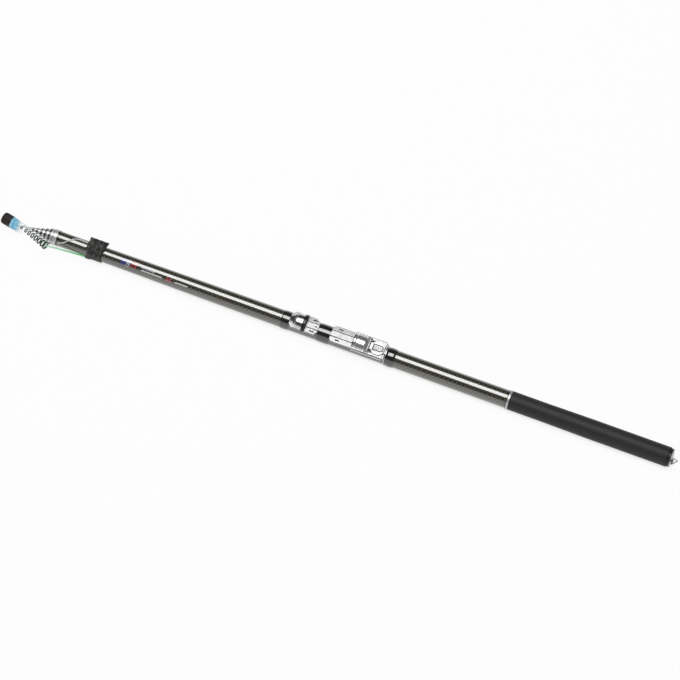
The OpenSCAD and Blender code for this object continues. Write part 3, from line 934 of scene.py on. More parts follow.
@dataclass(frozen=True)
class GripFoam:
    """Matte closed-cell foam with fine pores and soft mottling."""

    low: Colour = (0.012, 0.013, 0.013)
    high: Colour = (0.021, 0.022, 0.022)
    pore: Colour = (0.005, 0.005, 0.005)
    pores_per_m: float = 1900.0

    def paint(self) -> Material:
        """Make the material.

        Returns:
            The new material.
        """
        s = Shader("grip_foam")
        pores = s.cells(self.pores_per_m)
        mottle = s.noise(None, 95.0, 5.0)
        grain = s.noise(None, 2600.0)
        tone = s.blend(mottle, self.low, self.high)
        s.set(
            Base_Color=s.blend(s.span(pores, 0.0, 0.35, 0.55, 0.0), tone, self.pore),
            Roughness=s.span(grain, 0.3, 0.7, 0.5, 0.62),
            Specular_IOR_Level=0.42,
        )
        s.relief(s.math("ADD", s.math("MULTIPLY", pores, 0.8), grain), 0.09, 0.7)
        return s.material


@dataclass(frozen=True)
class Moulded:
    """Moulded plastic or rubber with a fine spark texture."""

    name: str
    low: Colour
    high: Colour
    rough: float
    shine: float = 0.5
    grain_per_m: float = 2600.0
    rough_swing: float = 0.06

    def paint(self) -> Material:
        """Make the material.

        Returns:
            The new material.
        """
        s = Shader(self.name)
        grain = s.noise(None, self.grain_per_m)
        swing = self.rough_swing
        s.set(
            Base_Color=s.blend(s.noise(None, 170.0, 4.0), self.low, self.high),
            Roughness=s.span(grain, 0.3, 0.7, self.rough - swing, self.rough + swing),
            Specular_IOR_Level=self.shine,
        )
        s.relief(grain, 0.03, 0.6)
        return s.material


@dataclass(frozen=True)
class HookTape:
    """Dark hook-and-loop tape: matted loops, ribs, a paler worn nap and a painted shadow along its
    rear edge.
    """

    rib_mm: float = 3.6
    rear_shadow_mm: float = -871.0
    rear_shadow_soft: float = 1.5
    low: Colour = (0.009, 0.0087, 0.0081)
    pale: Colour = (0.112, 0.107, 0.100)
    groove: Colour = (0.008, 0.008, 0.008)
    # colour between the loops, and of the painted shadow at the rear edge
    gap: Colour = (0.006, 0.006, 0.006)
    loops_per_m: float = 1500.0

    def paint(self) -> Material:
        """Make the material.

        Returns:
            The new material.
        """
        s = Shader("hook_tape")
        loops = s.cells(self.loops_per_m)
        fuzz = s.noise(None, 3200.0, 5.0)
        nap = s.span(s.noise(None, 150.0, 3.0), 0.38, 0.64, 0.0, 1.0)
        x = s.object_xyz()[0]
        # painted shadow: from this place to the strap's rear edge the tape turns nearly black
        rear_shadow = s.span(x, (self.rear_shadow_mm - self.rear_shadow_soft) * MM, self.rear_shadow_mm * MM, 0.0, 0.9)
        rib = s.ridges(x, self.rib_mm * MM)
        base = s.blend(nap, self.low, self.pale)
        worn = s.blend(s.span(rib, 0.0, 0.6, 0.7, 0.0), base, self.groove)
        # dark share: the gaps between loops, and the painted shadow at the rear edge
        dark = s.math("MAXIMUM", s.span(loops, 0.0, 0.5, 0.5, 0.0), rear_shadow)
        s.set(
            Base_Color=s.blend(dark, worn, self.gap),
            Roughness=s.span(fuzz, 0.3, 0.7, 0.6, 0.8),
            Specular_IOR_Level=0.4,
            Sheen_Weight=1.0,
            Sheen_Roughness=0.34,
        )
        matted = s.math("ADD", s.math("MULTIPLY", loops, 0.5), s.math("MULTIPLY", fuzz, 0.3))
        s.relief(s.math("ADD", matted, s.math("MULTIPLY", rib, 0.6)), 0.22)
        return s.material


@dataclass(frozen=True)
class Braid:
    """Braided cord, whose strands cross in a diamond pattern.

    The strand height is the larger of two sine waves that run round the cord
    in opposite turns.
    """

    name: str
    near: Colour
    far: Colour
    change_mm: tuple[float, float]
    strands: float = 4.0
    pitch_mm: float = 2.2
    shine: float = 0.4
    shadow: Colour = (0.02, 0.05, 0.03)

    def paint(self) -> Material:
        """Make the material.

        Returns:
            The new material.
        """
        s = Shader(self.name)
        u, v = s.surface_uv()
        spin = s.math("MULTIPLY", u, 2 * math.pi * self.strands)
        run = s.math("MULTIPLY", v, 2 * math.pi / self.pitch_mm)
        waves = [s.math("SINE", s.math(way, run, spin)) for way in ("ADD", "SUBTRACT")]
        strand = s.span(s.math("MAXIMUM", *waves), -0.4, 1.0, 0.0, 1.0)
        tone = s.blend(s.span(v, *self.change_mm, 0.0, 1.0), self.near, self.far)
        s.set(
            Base_Color=s.blend(strand, s.blend(0.25, tone, self.shadow), tone),
            Roughness=s.span(strand, 0.0, 1.0, 0.75, 0.5),
            Specular_IOR_Level=self.shine,
            Sheen_Weight=0.2,
        )
        s.relief(strand, 0.12)
        return s.material


@dataclass(frozen=True)
class ClearBlue:
    """Clear moulding, light blue at its closed end and nearly white at its mouth."""

    closed_mm: float = -1010.5
    floor_mm: float = -1006.5
    mouth_mm: float = -994.0
    deep: tuple[Colour, Colour] = ((0.10, 0.62, 0.93), (0.15, 0.68, 0.95))
    thin: Colour = (0.88, 0.96, 0.99)
    solid: Colour = (0.42, 0.74, 0.97)
    cover: tuple[float, float] = (0.40, 0.08)
    solid_cover: float = 0.45

    def paint(self) -> Material:
        """Make the material.

        Returns:
            The new material.
        """
        s = Shader("clear_blue_moulding")
        x = s.object_xyz()[0]
        share = s.span(x, self.floor_mm * MM, self.mouth_mm * MM, 0.0, 1.0)
        end = s.span(x, self.closed_mm * MM, self.floor_mm * MM, 1.0, 0.0)
        haze = s.noise(None, 260.0, 4.0)
        wall = s.blend(share, s.blend(haze, *self.deep), self.thin)
        cover = s.span(share, 0.0, 1.0, *self.cover)
        s.set(
            Base_Color=s.blend(end, wall, self.solid),
            Roughness=s.span(haze, 0.3, 0.7, 0.30, 0.34),
            Alpha=s.math("ADD", cover, s.math("MULTIPLY", end, self.solid_cover)),
            Specular_IOR_Level=0.35,
        )
        return s.material


@dataclass(frozen=True)
class Ink:
    """Printed bar under clear lacquer, slightly uneven."""

    name: str
    tone: Colour
    coat_ior: float = 2.2

    def paint(self) -> Material:
        """Make the material.

        Returns:
            The new material.
        """
        s = Shader(self.name)
        patch = s.noise(None, 800.0)
        s.set(
            Base_Color=s.blend(patch, self.tone, shaded(self.tone, 0.7)),
            Roughness=s.span(patch, 0.3, 0.7, 0.3, 0.4),
            Coat_Weight=1.0,
            Coat_Roughness=0.04,
            Coat_IOR=self.coat_ior,
        )
        return s.material


class Finishes:
    """All the finishes of the rod, each made once."""

    def __init__(self) -> None:
        """Paint every finish."""
        self.weave = WovenCarbon().paint()
        self.tube = PlainCarbon().paint()
        self.thread = LacqueredThread().paint()
        self.chrome = Plating("bright_plating", (0.66, 0.665, 0.67), 0.16, 0.26, 0.76).paint()
        self.satin = Plating("satin_plating", (0.46, 0.463, 0.467), 0.32, 0.44, 0.7).paint()
        self.plate = Plating(
            "plate_plating", (0.60, 0.603, 0.607), 0.48, 0.56, 0.6,
            TopFace(14.0, land=4.75, fall=0.137, edge=12.1),
        ).paint()
        pressed = (0.57, 0.573, 0.577)
        self.deck = Plating("deck_plating", pressed, 0.42, 0.5, 0.62, TopFace(15.5)).paint()
        self.lever = Plating("lever_plating", pressed, 0.42, 0.5, 0.62, TopFace(17.4)).paint()
        self.bloom = Plating("frosted_plating", (0.62, 0.625, 0.63), 0.3, 0.42, 0.55).paint()
        self.steel = Plating("drawn_steel", (0.34, 0.34, 0.33), 0.16, 0.34).paint()
        self.smoke = Plating("smoked_plating", (0.70, 0.705, 0.71), 0.16, 0.26).paint()
        self.ceramic = RingCeramic().paint()
        self.foam = GripFoam().paint()
        black = (0.006, 0.006, 0.0065)
        self.plastic = Moulded("black_moulding", black, (0.013, 0.013, 0.0135), 0.4).paint()
        self.rubber = Moulded(
            "black_rubber_moulding", (0.010, 0.009, 0.0075), (0.024, 0.021, 0.017), 0.62, 0.35
        ).paint()
        self.lip = Moulded("lip_moulding", black, (0.012, 0.012, 0.0125), 0.32).paint()
        self.tape = HookTape().paint()
        self.cord = Braid(
            "green_braid", (0.58, 1.0, 0.70), (0.16, 0.72, 0.27), (8.0, 52.0)
        ).paint()
        self.stub = Braid(
            "teal_braid", (0.01, 0.26, 0.26), (0.12, 0.55, 0.30), (0.0, 8.0), 3.0, 1.4
        ).paint()
        self.line = Braid(
            "pale_braid", (0.95, 0.94, 0.90), (0.98, 0.97, 0.94), (0.0, 40.0), 3.0, 1.2
        ).paint()
        self.clear = ClearBlue().paint()


# Sizes shared by the sub-assemblies


@dataclass(frozen=True)
class Nest:
    """Sizes of the butt's mouth and of the tubes that slide in it."""

    mouth_x: float = -946.7
    mouth_r: float = 11.05
    mouth_wall: float = 1.2
    pitch: float = 6.56
    overlap: float = 55.0
    draw_fit: float = 0.05  # gap between two tubes at full draw
    rear_x: float = -25.0
    tip_reach: float = 12.5  # tip section past section six
    glue: float = 0.03
    stop_gap: float = 0.3  # gap between a collar and its mouth
    walls: tuple[float, ...] = (1.1, 0.95, 0.8, 0.55, 0.5)
    drops: tuple[float, ...] = (1.0414, 1.0414, 1.0414, 0.6627, 0.6627, 0.9467)

    def taper(self, i: int) -> float:
        """Radius that section i loses for each millimetre."""
        return self.drops[i] / -self.mouth_x

    def front_x(self, i: int) -> float:
        """Place of the front end of section i."""
        reach = (i + 1) * self.pitch if i < 5 else 5 * self.pitch + self.tip_reach
        return self.mouth_x - reach

    def bore(self, i: int) -> float:
        """Bore at the mouth that section i slides in."""
        return self.mouth_r - self.mouth_wall if i == 0 else self.tip_r(i - 1) - self.walls[i - 1]

    def root_r(self, i: int) -> float:
        """Radius of section i at its rear end."""
        return self.bore(i) + self.taper(i) * self.overlap - self.draw_fit

    def tip_r(self, i: int) -> float:
        """Radius of section i at its front end."""
        return self.root_r(i) - self.taper(i) * (self.rear_x - self.front_x(i))

    def collar_r(self, i: int) -> float:
        """Radius of the guide collar on section i."""
        return (self.mouth_r if i == 0 else self.tip_r(i - 1)) - self.stop_gap


NEST = Nest()
GUIDE_DEG = 28.0


def skin(x: Any, r: Any, degrees: Any) -> np.ndarray:
    """Point at a radius from the rod axis, turned up from -Y by an angle."""
    a = np.radians(degrees)
    return np.stack(np.broadcast_arrays(x, -r * np.cos(a), r * np.sin(a)), -1).astype(float)


def wound_shell(x0: float, x1: float, r_in: float, r_out: float, dome: float) -> Shell:
    """Band about the rod axis whose outside is domed like a bead of lacquer.

    With u the share of the way from the middle to an end, the outer radius is
    r_out less dome times 0.85 of the square and 0.15 of the eighth power of u.

    Args:
        x0: Front end.
        x1: Rear end.
        r_in: Inner radius.
        r_out: Outer radius at the middle.
        dome: Drop of the outer radius at the ends.

    Returns:
        The closed band.
    """
    u = np.linspace(-1.0, 1.0, 41)
    radius = r_out - dome * (0.85 * u**2 + 0.15 * u**8)
    over = np.stack([(x0 + x1) / 2 + u * (x1 - x0) / 2, radius], 1)
    outline = np.vstack([[[x0, r_in]], over, [[x1, r_in]]])
    return Shell(turned(outline), rows_close=True)


def ring_shell(
    x0: float, x1: float, r_in: float, r_out: float, edge: float, finish: int = 0
) -> Shell:
    """Closed band about the rod axis with rounded edges."""
    outline = rounded([[x0, r_in], [x0, r_out], [x1, r_out], [x1, r_in]], edge, 5)
    return Shell(turned(outline), rows_close=True, finish=finish)


# Sub-assemblies


@dataclass
class SubAssembly:
    """Pieces of the rod that are built and dressed together in its finishes."""

    finishes: Finishes


@dataclass
class ButtBlank(SubAssembly):
    """Woven butt tube with the printed bars on it."""

    rear_x: float = -1.0
    rear_r: float = 13.5
    grip_x: float = -246.0
    grip_r: float = 13.4
    seat_rear_x: float = -430.0
    seat_front_x: float = -585.0
    seat_r: float = 13.0
    neck_x: float = -599.0
    neck_r: float = 12.8
    slim_x: float = -714.2
    slim_r: float = 12.26
    strap_rear_x: float = -857.0
    strap_front_x: float = -895.0
    strap_r: float = 11.15
    mouth_land_x: float = -910.0
    rear_bore: float = 11.5
    bore_x: float = -242.0
    bar_lift: float = 0.035
    step: float = 6.0
    bore_step: float = 40.0

    def outline(self) -> np.ndarray:
        """Closed outline of the tube wall: outer skin forwards, bore backwards.

        Returns:
            Points [x, r] of the outline.
        """
        front, bore = NEST.mouth_x, NEST.bore(0)
        outside = [
            [self.rear_x, self.rear_r], [self.grip_x, self.grip_r],
            [self.seat_rear_x, self.seat_r], [self.seat_front_x, self.seat_r],
            [self.neck_x, self.neck_r], [self.slim_x, self.slim_r],
            [self.strap_rear_x, self.strap_r], [self.strap_front_x, self.strap_r],
            [self.mouth_land_x, NEST.mouth_r], [front, NEST.mouth_r],
        ]
        inside = np.array([
            [front, bore], [front + NEST.overlap, bore + NEST.taper(0) * NEST.overlap],
            [self.bore_x, self.rear_bore], [self.rear_x, self.rear_bore],
        ])
        outer = dense(rounded(outside, 12.0, 6, closed=False), self.step)
        return np.vstack([outer, dense(inside, self.bore_step)])

    def skin_r(self, x: np.ndarray) -> np.ndarray:
        """Outer radius of the tube near the printed bars."""
        places = [self.strap_rear_x, self.slim_x, self.neck_x]
        return np.interp(x, places, [self.strap_r, self.slim_r, self.neck_r])

    def bar(
        self, x0: float, x1: float, low: float, high: float, slant: float, finish: int
    ) -> Shell:
        """Thin printed patch that follows the tube.

        Args:
            x0: Front edge of the patch.
            x1: Rear edge of the patch.
            low: Lower edge as an angle up from -Y.
            high: Upper edge as an angle up from -Y.
            slant: Millimetres that the upper edge leans to the rear.
            finish: Number of the ink.

        Returns:
            A closed wafer: the outer face and the inner face joined at the rim.
        """
        corners = [[x0, low], [x1, low], [x1 + slant, high], [x0 + slant, high]]
        outline = dense(rounded(corners, 0.5, 3), 1.6, True)
        middle = outline.mean(0)
        spread = np.array([0.0, 0.5, 0.97, 1.0, 1.0, 0.5, 0.0])[:, None, None]
        rise = np.array([1.0, 1.0, 1.0, 0.4, -0.6, -0.6, -0.6])[:, None] * self.bar_lift
        flat = middle + (outline - middle)[None] * spread
        radius = self.skin_r(flat[..., 0]) + rise
        return Shell(skin(flat[..., 0], radius, flat[..., 1]), finish=finish)

    def build(self) -> None:
        """Make the tube and its printed bars."""
        make_piece(
            "woven_butt_tube", [Shell(turned(self.outline(), 128), rows_close=True)],
            [self.finishes.weave], "butt", ["butt_blank"],
        )
        inks = [
            Ink("blue_ink", (0.035, 0.04, 0.42)).paint(),
            Ink("pale_ink", (0.62, 0.60, 0.80)).paint(),
            Ink("red_ink", (0.42, 0.02, 0.045)).paint(),
            Ink("white_ink", (0.78, 0.76, 0.78)).paint(),
        ]
        bars = [
            (-842.0, -835.5, 40.0, 98.0, 3.0, 0), (-833.5, -828.5, 40.0, 98.0, 3.0, 1),
            (-826.5, -818.0, 40.0, 98.0, 3.0, 2), (-809.0, -777.0, 48.0, 57.0, 0.4, 3),
            (-809.0, -789.0, 67.0, 72.0, 0.2, 1), (-771.0, -763.0, 44.0, 64.0, 1.0, 2),
            (-757.0, -737.0, 48.0, 57.0, 0.4, 3),
        ]
        make_piece("printed_bars", [self.bar(*b) for b in bars], inks, "butt")


@dataclass
class Grip(SubAssembly):
    """Foam grip with its bright ring and black band."""

    front_x: float = -242.0
    inner_r: float = 13.53
    rear_r: float = 14.7
    front_r: float = 14.0
    cone_x: tuple[float, float] = (-188.0, -118.0)
    rear_x: float = 1.2
    edge: float = 1.15
    ring_x: float = -245.0
    ring_r: float = 14.35
    band_x: float = -246.2
    band_r: float = 13.9

    def build(self) -> None:
        """Make the sleeve and the two rings in front of it."""
        corners = [
            [self.front_x, self.inner_r], [self.front_x, self.front_r],
            [self.cone_x[0], self.front_r], [self.cone_x[1], self.rear_r],
            [self.rear_x, self.rear_r], [self.rear_x, self.inner_r],
        ]
        outline = dense(rounded(corners, self.edge, 6), 6.0, True)
        make_piece(
            "foam_grip", [Shell(turned(outline, 112), rows_close=True)],
            [self.finishes.foam], "butt", ["grip_sleeve"],
        )
        make_piece(
            "grip_bright_ring",
            [ring_shell(self.ring_x, self.front_x, self.inner_r, self.ring_r, 0.7)],
            [self.finishes.bloom], "butt", ["grip_trim_ring"],
        )
        make_piece(
            "grip_black_band",
            [ring_shell(self.band_x, self.ring_x, self.inner_r, self.band_r, 0.35)],
            [self.finishes.plastic], "butt", ["grip_trim_band"],
        )


@dataclass
class SeatPlate:
    """Pressed seat plate: flat land, sloping facets, edge rails and skirts.

    The surface is the cross outline carried along X. Its half width narrows at
    the cut corners, and grooves, slots and a hole are smooth dips of its top.
    """

    front_x: float
    rear_x: float
    front_cut: float
    rear_cut: float
    slot_x: float
    groove: tuple[float, float]
    hole_x: float | None = None
    land_z: float = 14.0
    land_half: float = 4.75
    half: float = 12.8
    roof_z: float = 12.9
    rail_z: float = 11.6
    skirt_half: float = 11.8
    skirt_z: float = 7.54
    bed_r: float = 13.03
    groove_deep: float = 0.5
    groove_wide: float = 0.55
    groove_run: float = 0.6
    slot_deep: float = 0.85
    slot_half: float = 2.2
    slot_r: float = 1.15
    hole_deep: float = 0.75
    hole_r: float = 1.3
    wall: float = 0.4
    chamfer: float = 0.22
    chamfer_run: float = 0.35
    end_gap: float = 0.08
    step: float = 0.3

    def cross(self) -> tuple[np.ndarray, np.ndarray]:
        """Lay out the cross outline.

        Returns:
            Its [y, z] points, and which of them are on the top.
        """
        foot = math.sqrt(self.bed_r**2 - self.skirt_z**2)
        side = [
            [foot, self.skirt_z], [self.skirt_half, self.skirt_z], [self.skirt_half, self.rail_z],
            [self.half, self.rail_z], [self.half, self.roof_z], [self.land_half, self.land_z],
        ]
        mirrored = [[-y, z] for y, z in reversed(side)]
        over = dense(rounded(side + mirrored, 0.5, 4, closed=False), self.step)
        wide = math.acos(self.skirt_z / self.bed_r)
        a = np.linspace(-wide, wide, 40)[1:-1]
        under = np.stack([self.bed_r * np.sin(a), self.bed_r * np.cos(a)], 1)
        points = np.vstack([over, under])
        top = (np.arange(len(points)) < len(over)) & (points[:, 1] > self.roof_z - 0.25)
        return points, top

    def dips(self, x: np.ndarray, y: np.ndarray) -> np.ndarray:
        """Depth of the grooves, slots and hole at each point of the top.

        A groove is a bell curve across its line. A slot or hole is level inside
        its outline, and its wall rises smoothly.

        Args:
            x: Places along X.
            y: Places along Y.

        Returns:
            The depths.
        """
        side = np.abs(y)
        ends = (x - self.groove[0], self.groove[1] - x)
        inside = ease(ends[0] / self.groove_run + 1) * ease(ends[1] / self.groove_run + 1)
        bell = np.exp(-(((side - self.land_half) / self.groove_wide) ** 2))
        depth = self.groove_deep * inside * bell
        past = np.maximum(np.abs(x - self.slot_x) - self.slot_half, 0.0)
        away = np.hypot(past, side - (self.land_half + self.half) / 2)
        depth = np.maximum(depth, self.slot_deep * within(away, self.slot_r, self.wall))
        if self.hole_x is not None:
            away = np.hypot(x - self.hole_x, y)
            depth = np.maximum(depth, self.hole_deep * within(away, self.hole_r, self.wall))
        return depth

    def shell(self) -> Shell:
        """Work out the plate.

        Returns:
            Its closed surface.
        """
        points, top = self.cross()
        x = np.arange(self.front_x, self.rear_x + self.step / 2, self.step)
        x = np.r_[x[0], x[0] + self.end_gap, x[1:-1], x[-1] - self.end_gap, x[-1]]
        limit = np.minimum(
            self.half + np.minimum(x - self.front_x - self.front_cut, 0.0),
            self.half + np.minimum(self.rear_x - self.rear_cut - x, 0.0),
        )
        y = np.clip(points[None, :, 0], -limit[:, None], limit[:, None])
        bed = np.sqrt(np.maximum(self.bed_r**2 - y**2, 0.0))
        low = np.where(limit < self.skirt_half, bed.min(1), 0.0)[:, None]
        z = np.maximum(points[None, :, 1] + 0 * y, np.minimum(low, bed))
        edge = np.minimum(x - x[0], x[-1] - x)
        chamfer = self.chamfer * (1 - ease(edge / self.chamfer_run))[:, None]
        along = x[:, None] + 0 * y
        z = z - np.where(top[None], self.dips(along, y) + chamfer, 0.0)
        return Shell(np.stack([along, y, z], -1), capped=True)


@dataclass
class ArchedHood:
    """Hood that arches over a seat plate, with a pocket for the reel's foot.

    A cross row is an arc of the outer radius about a line at axis_z, and then an
    arc of the pocket's radius back; both arcs end on the plate at base_z, and
    where there is no pocket the second arc is flat on the plate.

    Attributes:
        outer: Outer outline as [x, r] points.
        pocket: Pocket outline as [x, r] points; a radius of 7 means no pocket.
        base_z: Height of the plate under the hood.
        axis_z: Height of the arcs' centre line.
        edge: Rounding of the outer outline.
        step: Longest side of the outer outline.
    """

    outer: Sequence
    pocket: Sequence
    base_z: float = 13.05
    axis_z: float = 6.0
    edge: float = 0.7
    step: float = 0.5

    def shell(self, finish: int = 0) -> Shell:
        """Work out the hood.

        Args:
            finish: Number of its finish.

        Returns:
            Its closed surface.
        """
        skin_line = dense(rounded(self.outer, self.edge, 5, closed=False), self.step)
        x, r = skin_line[:, 0], skin_line[:, 1]
        deep = np.interp(x, [k[0] for k in self.pocket], [k[1] for k in self.pocket])
        t = np.linspace(-1.0, 1.0, 72)
        rise = self.base_z - self.axis_z
        a = np.arccos(np.clip(rise / r, -1, 1))[:, None] * t
        b = np.arccos(np.clip(rise / np.maximum(deep, rise + 0.3), -1, 1))[:, None] * t[::-1]
        y = np.hstack([r[:, None] * np.sin(a), deep[:, None] * np.sin(b)])
        z = np.hstack([r[:, None] * np.cos(a), np.maximum(deep[:, None] * np.cos(b), rise)])
        along = np.repeat(x[:, None], y.shape[1], 1)
        return Shell(np.dstack([along, y, z + self.axis_z]), capped=True, finish=finish)


@dataclass
class ReelSeat(SubAssembly):
    """Windings, plates and fixed hood of the reel seat."""

    rear_x: float = -434.0
    rail_front_x: float = -518.0
    front_rear_x: float = -537.4
    front_x: float = -580.5
    blank_r: float = 13.0
    gap: float = 0.2
    ring_end: float = -432.4
    ring_r: float = 14.4
    rear_wound_end: float = -418.6
    front_wound_end: float = -592.9
    dome_long: float = 19.3
    lip_long: float = 5.8
    groove_x: float = -555.4

    def windings(self) -> None:
        """Make the three windings and the bright ring."""
        wound, gap = self.blank_r + NEST.glue, self.gap
        bands = [
            ("rear", self.ring_end, self.rear_wound_end, wound + 0.08, 1.17, 1.05),
            ("middle", self.front_rear_x + gap, self.rail_front_x - gap, wound, 0.57, 0.5),
            ("front", self.front_wound_end, self.front_x - gap, wound, 0.57, 0.52),
        ]
        for word, x0, x1, inner, rise, dome in bands:
            make_piece(
                word + "_winding", [wound_shell(x0, x1, inner, wound + rise, dome)],
                [self.finishes.thread], "butt", [word + "_wrap"],
            )
        make_piece(
            "rear_bright_ring",
            [ring_shell(self.rear_x + gap, self.ring_end, wound, self.ring_r, 0.4)],
            [self.finishes.chrome], "butt", ["rear_wrap_ring"],
        )

    def plates(self) -> None:
        """Make the rail plate and the front plate."""
        rail = SeatPlate(
            self.rail_front_x, self.rear_x, 4.0, 0.6, self.rail_front_x + 12,
            (self.rail_front_x, self.rear_x),
        )
        fixed = SeatPlate(
            self.front_x, self.front_rear_x, 5.0, 5.5, self.front_rear_x - 8,
            (self.groove_x, self.front_rear_x), self.front_rear_x - 4,
        )
        for word, plate in (("rail", rail), ("front", fixed)):
            make_piece(
                word + "_plate", [plate.shell()],
                [self.finishes.plate], "butt", [word + "_saddle"],
            )

    def hood(self) -> None:
        """Make the fixed hood's dome and its black rim."""
        x0, lip = self.front_x, self.front_x + self.dome_long
        end = lip + self.lip_long
        dome = ArchedHood(
            [[x0, 8.4], [x0, 9.2], [x0 + 6.5, 12.7], [x0 + 9.2, 13.3], [x0 + 9.6, 14.0],
             [x0 + 15.3, 14.5], [lip, 14.5]],
            [[x0 + 11.0, 7.0], [x0 + 11.1, 9.9], [x0 + 15.1, 12.9], [lip, 12.9]],
        )
        make_piece(
            "front_hood_dome", [dome.shell()],
            [self.finishes.smoke], "butt", ["front_hood"],
        )
        rim = ArchedHood(
            [[lip, 13.2], [lip, 15.0], [lip + 1.2, 15.4], [lip + 4.6, 15.4], [end, 14.8],
             [end, 13.2]],
            [[lip, 12.9], [end, 12.9]],
            edge=0.9,
        )
        make_piece(
            "front_hood_rim", [rim.shell()],
            [self.finishes.lip], "butt", ["front_hood_lip"],
        )

    def build(self) -> None:
        """Make the fixed pieces of the seat."""
        self.windings()
        self.plates()
        self.hood()


@dataclass
class SlidingLock(SubAssembly):
    """Sliding hood with its barrel, deck and wings, its lever and the lever's pin."""

    front_x: float = -483.5
    rear_x: float = -436.5
    barrel_x: float = -463.5
    pocket_x: float = -468.9
    base_z: float = 14.35
    deck_low: float = 14.3
    deck_high: float = 15.5
    half: float = 14.6
    rail_half: float = 13.1
    hook_z: float = 9.5
    hook_in: float = 1.0
    rail_z: float = 11.3
    lug_in: float = 8.4
    lug_out: float = 11.2
    lug_r: float = 2.3
    pin_x: float = -460.0
    pin_z: float = 17.0
    lever_low: float = 15.8
    lever_high: float = 17.4
    lever_half: float = 10.5
    lever_corner: float = 5.0
    neck_half: float = 5.6
    neck_end: float = 4.5
    shoulder: float = 8.5
    pad_half: float = 4.3
    rib_pitch: float = 1.7
    knuckle_half: float = 8.1
    knuckle_r: float = 2.4
    edge_long: float = 1.1
    bevel_y: float = 1.7
    bevel_z: float = 2.3
    edge: float = 0.35
    soft: float = 0.5
    step: float = 0.3

    def mouth_shadow_band(self) -> Shell:
        """Work out the black band at the front of the barrel's mouth, which stands in for the
        shadow at its rim.

        Returns:
            Its closed surface.
        """
        x0, x1 = self.front_x, self.front_x + self.edge_long
        hood = ArchedHood(
            [[x0, 13.2], [x0, 14.9], [x1, 14.9], [x1, 13.2]], [[x0, 12.9], [x1, 12.9]],
            base_z=self.base_z, edge=0.3, step=0.3,
        )
        # finish 3, the black moulding, paints the shadow at the mouth's rim
        return hood.shell(3)

    def barrel(self) -> Shell:
        """Work out the arched barrel, with a flared mouth and a step behind it.

        Returns:
            Its closed surface.
        """
        x0, x1, pocket = self.front_x + self.edge_long, self.barrel_x, self.pocket_x
        hood = ArchedHood(
            [[x0, 13.2], [x0, 14.9], [x0 + 1.9, 14.9], [x0 + 2.4, 14.1], [x0 + 3.2, 14.2],
             [x0 + 4.1, 15.2], [x1 - 2.6, 15.2], [x1 - 0.4, 14.0], [x1, 12.0], [x1, 9.2]],
            [[x0, 12.9], [pocket - 3, 12.9], [pocket - 0.1, 9.9], [pocket, 8.4]],
            base_z=self.base_z, edge=0.5, step=0.35,
        )
        return hood.shell(1)

    def outer_side(self) -> list:
        """Corners [y, z] of one side's outside, from its hook up to its bevel."""
        return [
            [self.rail_half - self.hook_in, self.hook_z], [self.half - 0.6, self.hook_z],
            [self.half, self.hook_z + 0.8], [self.half, self.deck_high - self.bevel_z],
            [self.half - self.bevel_y, self.deck_high],
        ]

    def inner_side(self) -> list:
        """Corners [y, z] of one side's inside, from the deck down to its hook."""
        return [
            [self.rail_half, self.deck_low], [self.rail_half, self.rail_z],
            [self.rail_half - self.hook_in, self.rail_z],
        ]

    def wing(self, side: int) -> Shell:
        """Work out a wing beside the barrel's mouth that hooks under the edge rail.

        Args:
            side: 1 for the wing at +Y and -1 for the other.

        Returns:
            Its closed surface.
        """
        step_up = [[self.lug_in, self.deck_high], [self.lug_in, self.deck_low]]
        corners = self.outer_side() + step_up + self.inner_side()
        cross = dense(rounded(corners, self.edge, 4), 0.6, True) * [side, 1]
        x = np.linspace(self.front_x, self.pocket_x - 2, 24)
        return Shell(extruded(cross, x), capped=True)

    def hollows(self, x: np.ndarray, y: np.ndarray) -> np.ndarray:
        """Depth of the deck's hollows.

        They are a moat round the lever, a slot under the knuckle, a gap behind
        the barrel and a notch on each side of the lever's neck.

        Args:
            x: Places along X.
            y: Places along Y.

        Returns:
            The depths.
        """
        soft, side = self.soft, np.abs(y)
        out = -inside_depth(self.lever_outline(), x, y)
        moat = ease((out + 0.6) / soft) * ease((1.3 - out) / soft)
        slot = within(y, self.lug_in, 0.4) * within(x - self.pin_x, 3.2, 0.4)
        gap = within(x - self.barrel_x - 0.4, 1.1, soft) * within(y, 12.6, soft)
        beside = within(y, self.lever_half - 0.4, soft) * ease((side - self.neck_half + 0.6) / soft)
        behind = ease((x - self.pin_x - 2.9) / soft) * ease((self.pin_x + 8.4 - x) / soft)
        deep = self.deck_high - self.deck_low - 0.1
        return np.maximum(np.maximum.reduce([moat, slot, gap]) * deep, 0.85 * beside * behind)

    def deck(self) -> Shell:
        """Work out the deck under the lever: its cross outline along X, less the hollows.

        Returns:
            Its closed surface.
        """
        outer, inner = self.outer_side(), self.inner_side()
        far = [[-y, z] for y, z in [*reversed(outer), *reversed(inner)]]
        cross = dense(rounded(outer + far + inner, self.edge, 4), self.step, True)
        grid = extruded(cross, np.arange(self.pocket_x - 2, self.rear_x + 0.01, self.step))
        depth = self.hollows(grid[..., 0], grid[..., 1])
        grid[..., 2] -= np.where(cross[None, :, 1] > self.deck_high - 0.05, depth, 0.0)
        return Shell(grid, capped=True)

    def lug(self, side: int) -> Shell:
        """Work out an upright lug that holds one end of the hinge pin.

        Args:
            side: 1 for the lug at +Y and -1 for the other.

        Returns:
            Its closed surface.
        """
        a, foot = np.linspace(0.0, np.pi, 15), self.deck_low + 0.1
        arc = np.stack([self.lug_r * np.cos(a), self.pin_z + self.lug_r * np.sin(a)], 1)
        outline = dense(np.vstack([arc, [[-self.lug_r, foot], [self.lug_r, foot]]]), 0.5, True)
        grid = wafer(outline, self.lug_in + 0.02, self.lug_out, self.edge)
        places = [grid[..., 0] + self.pin_x, side * grid[..., 2], grid[..., 1]]
        return Shell(np.dstack(places), finish=2)

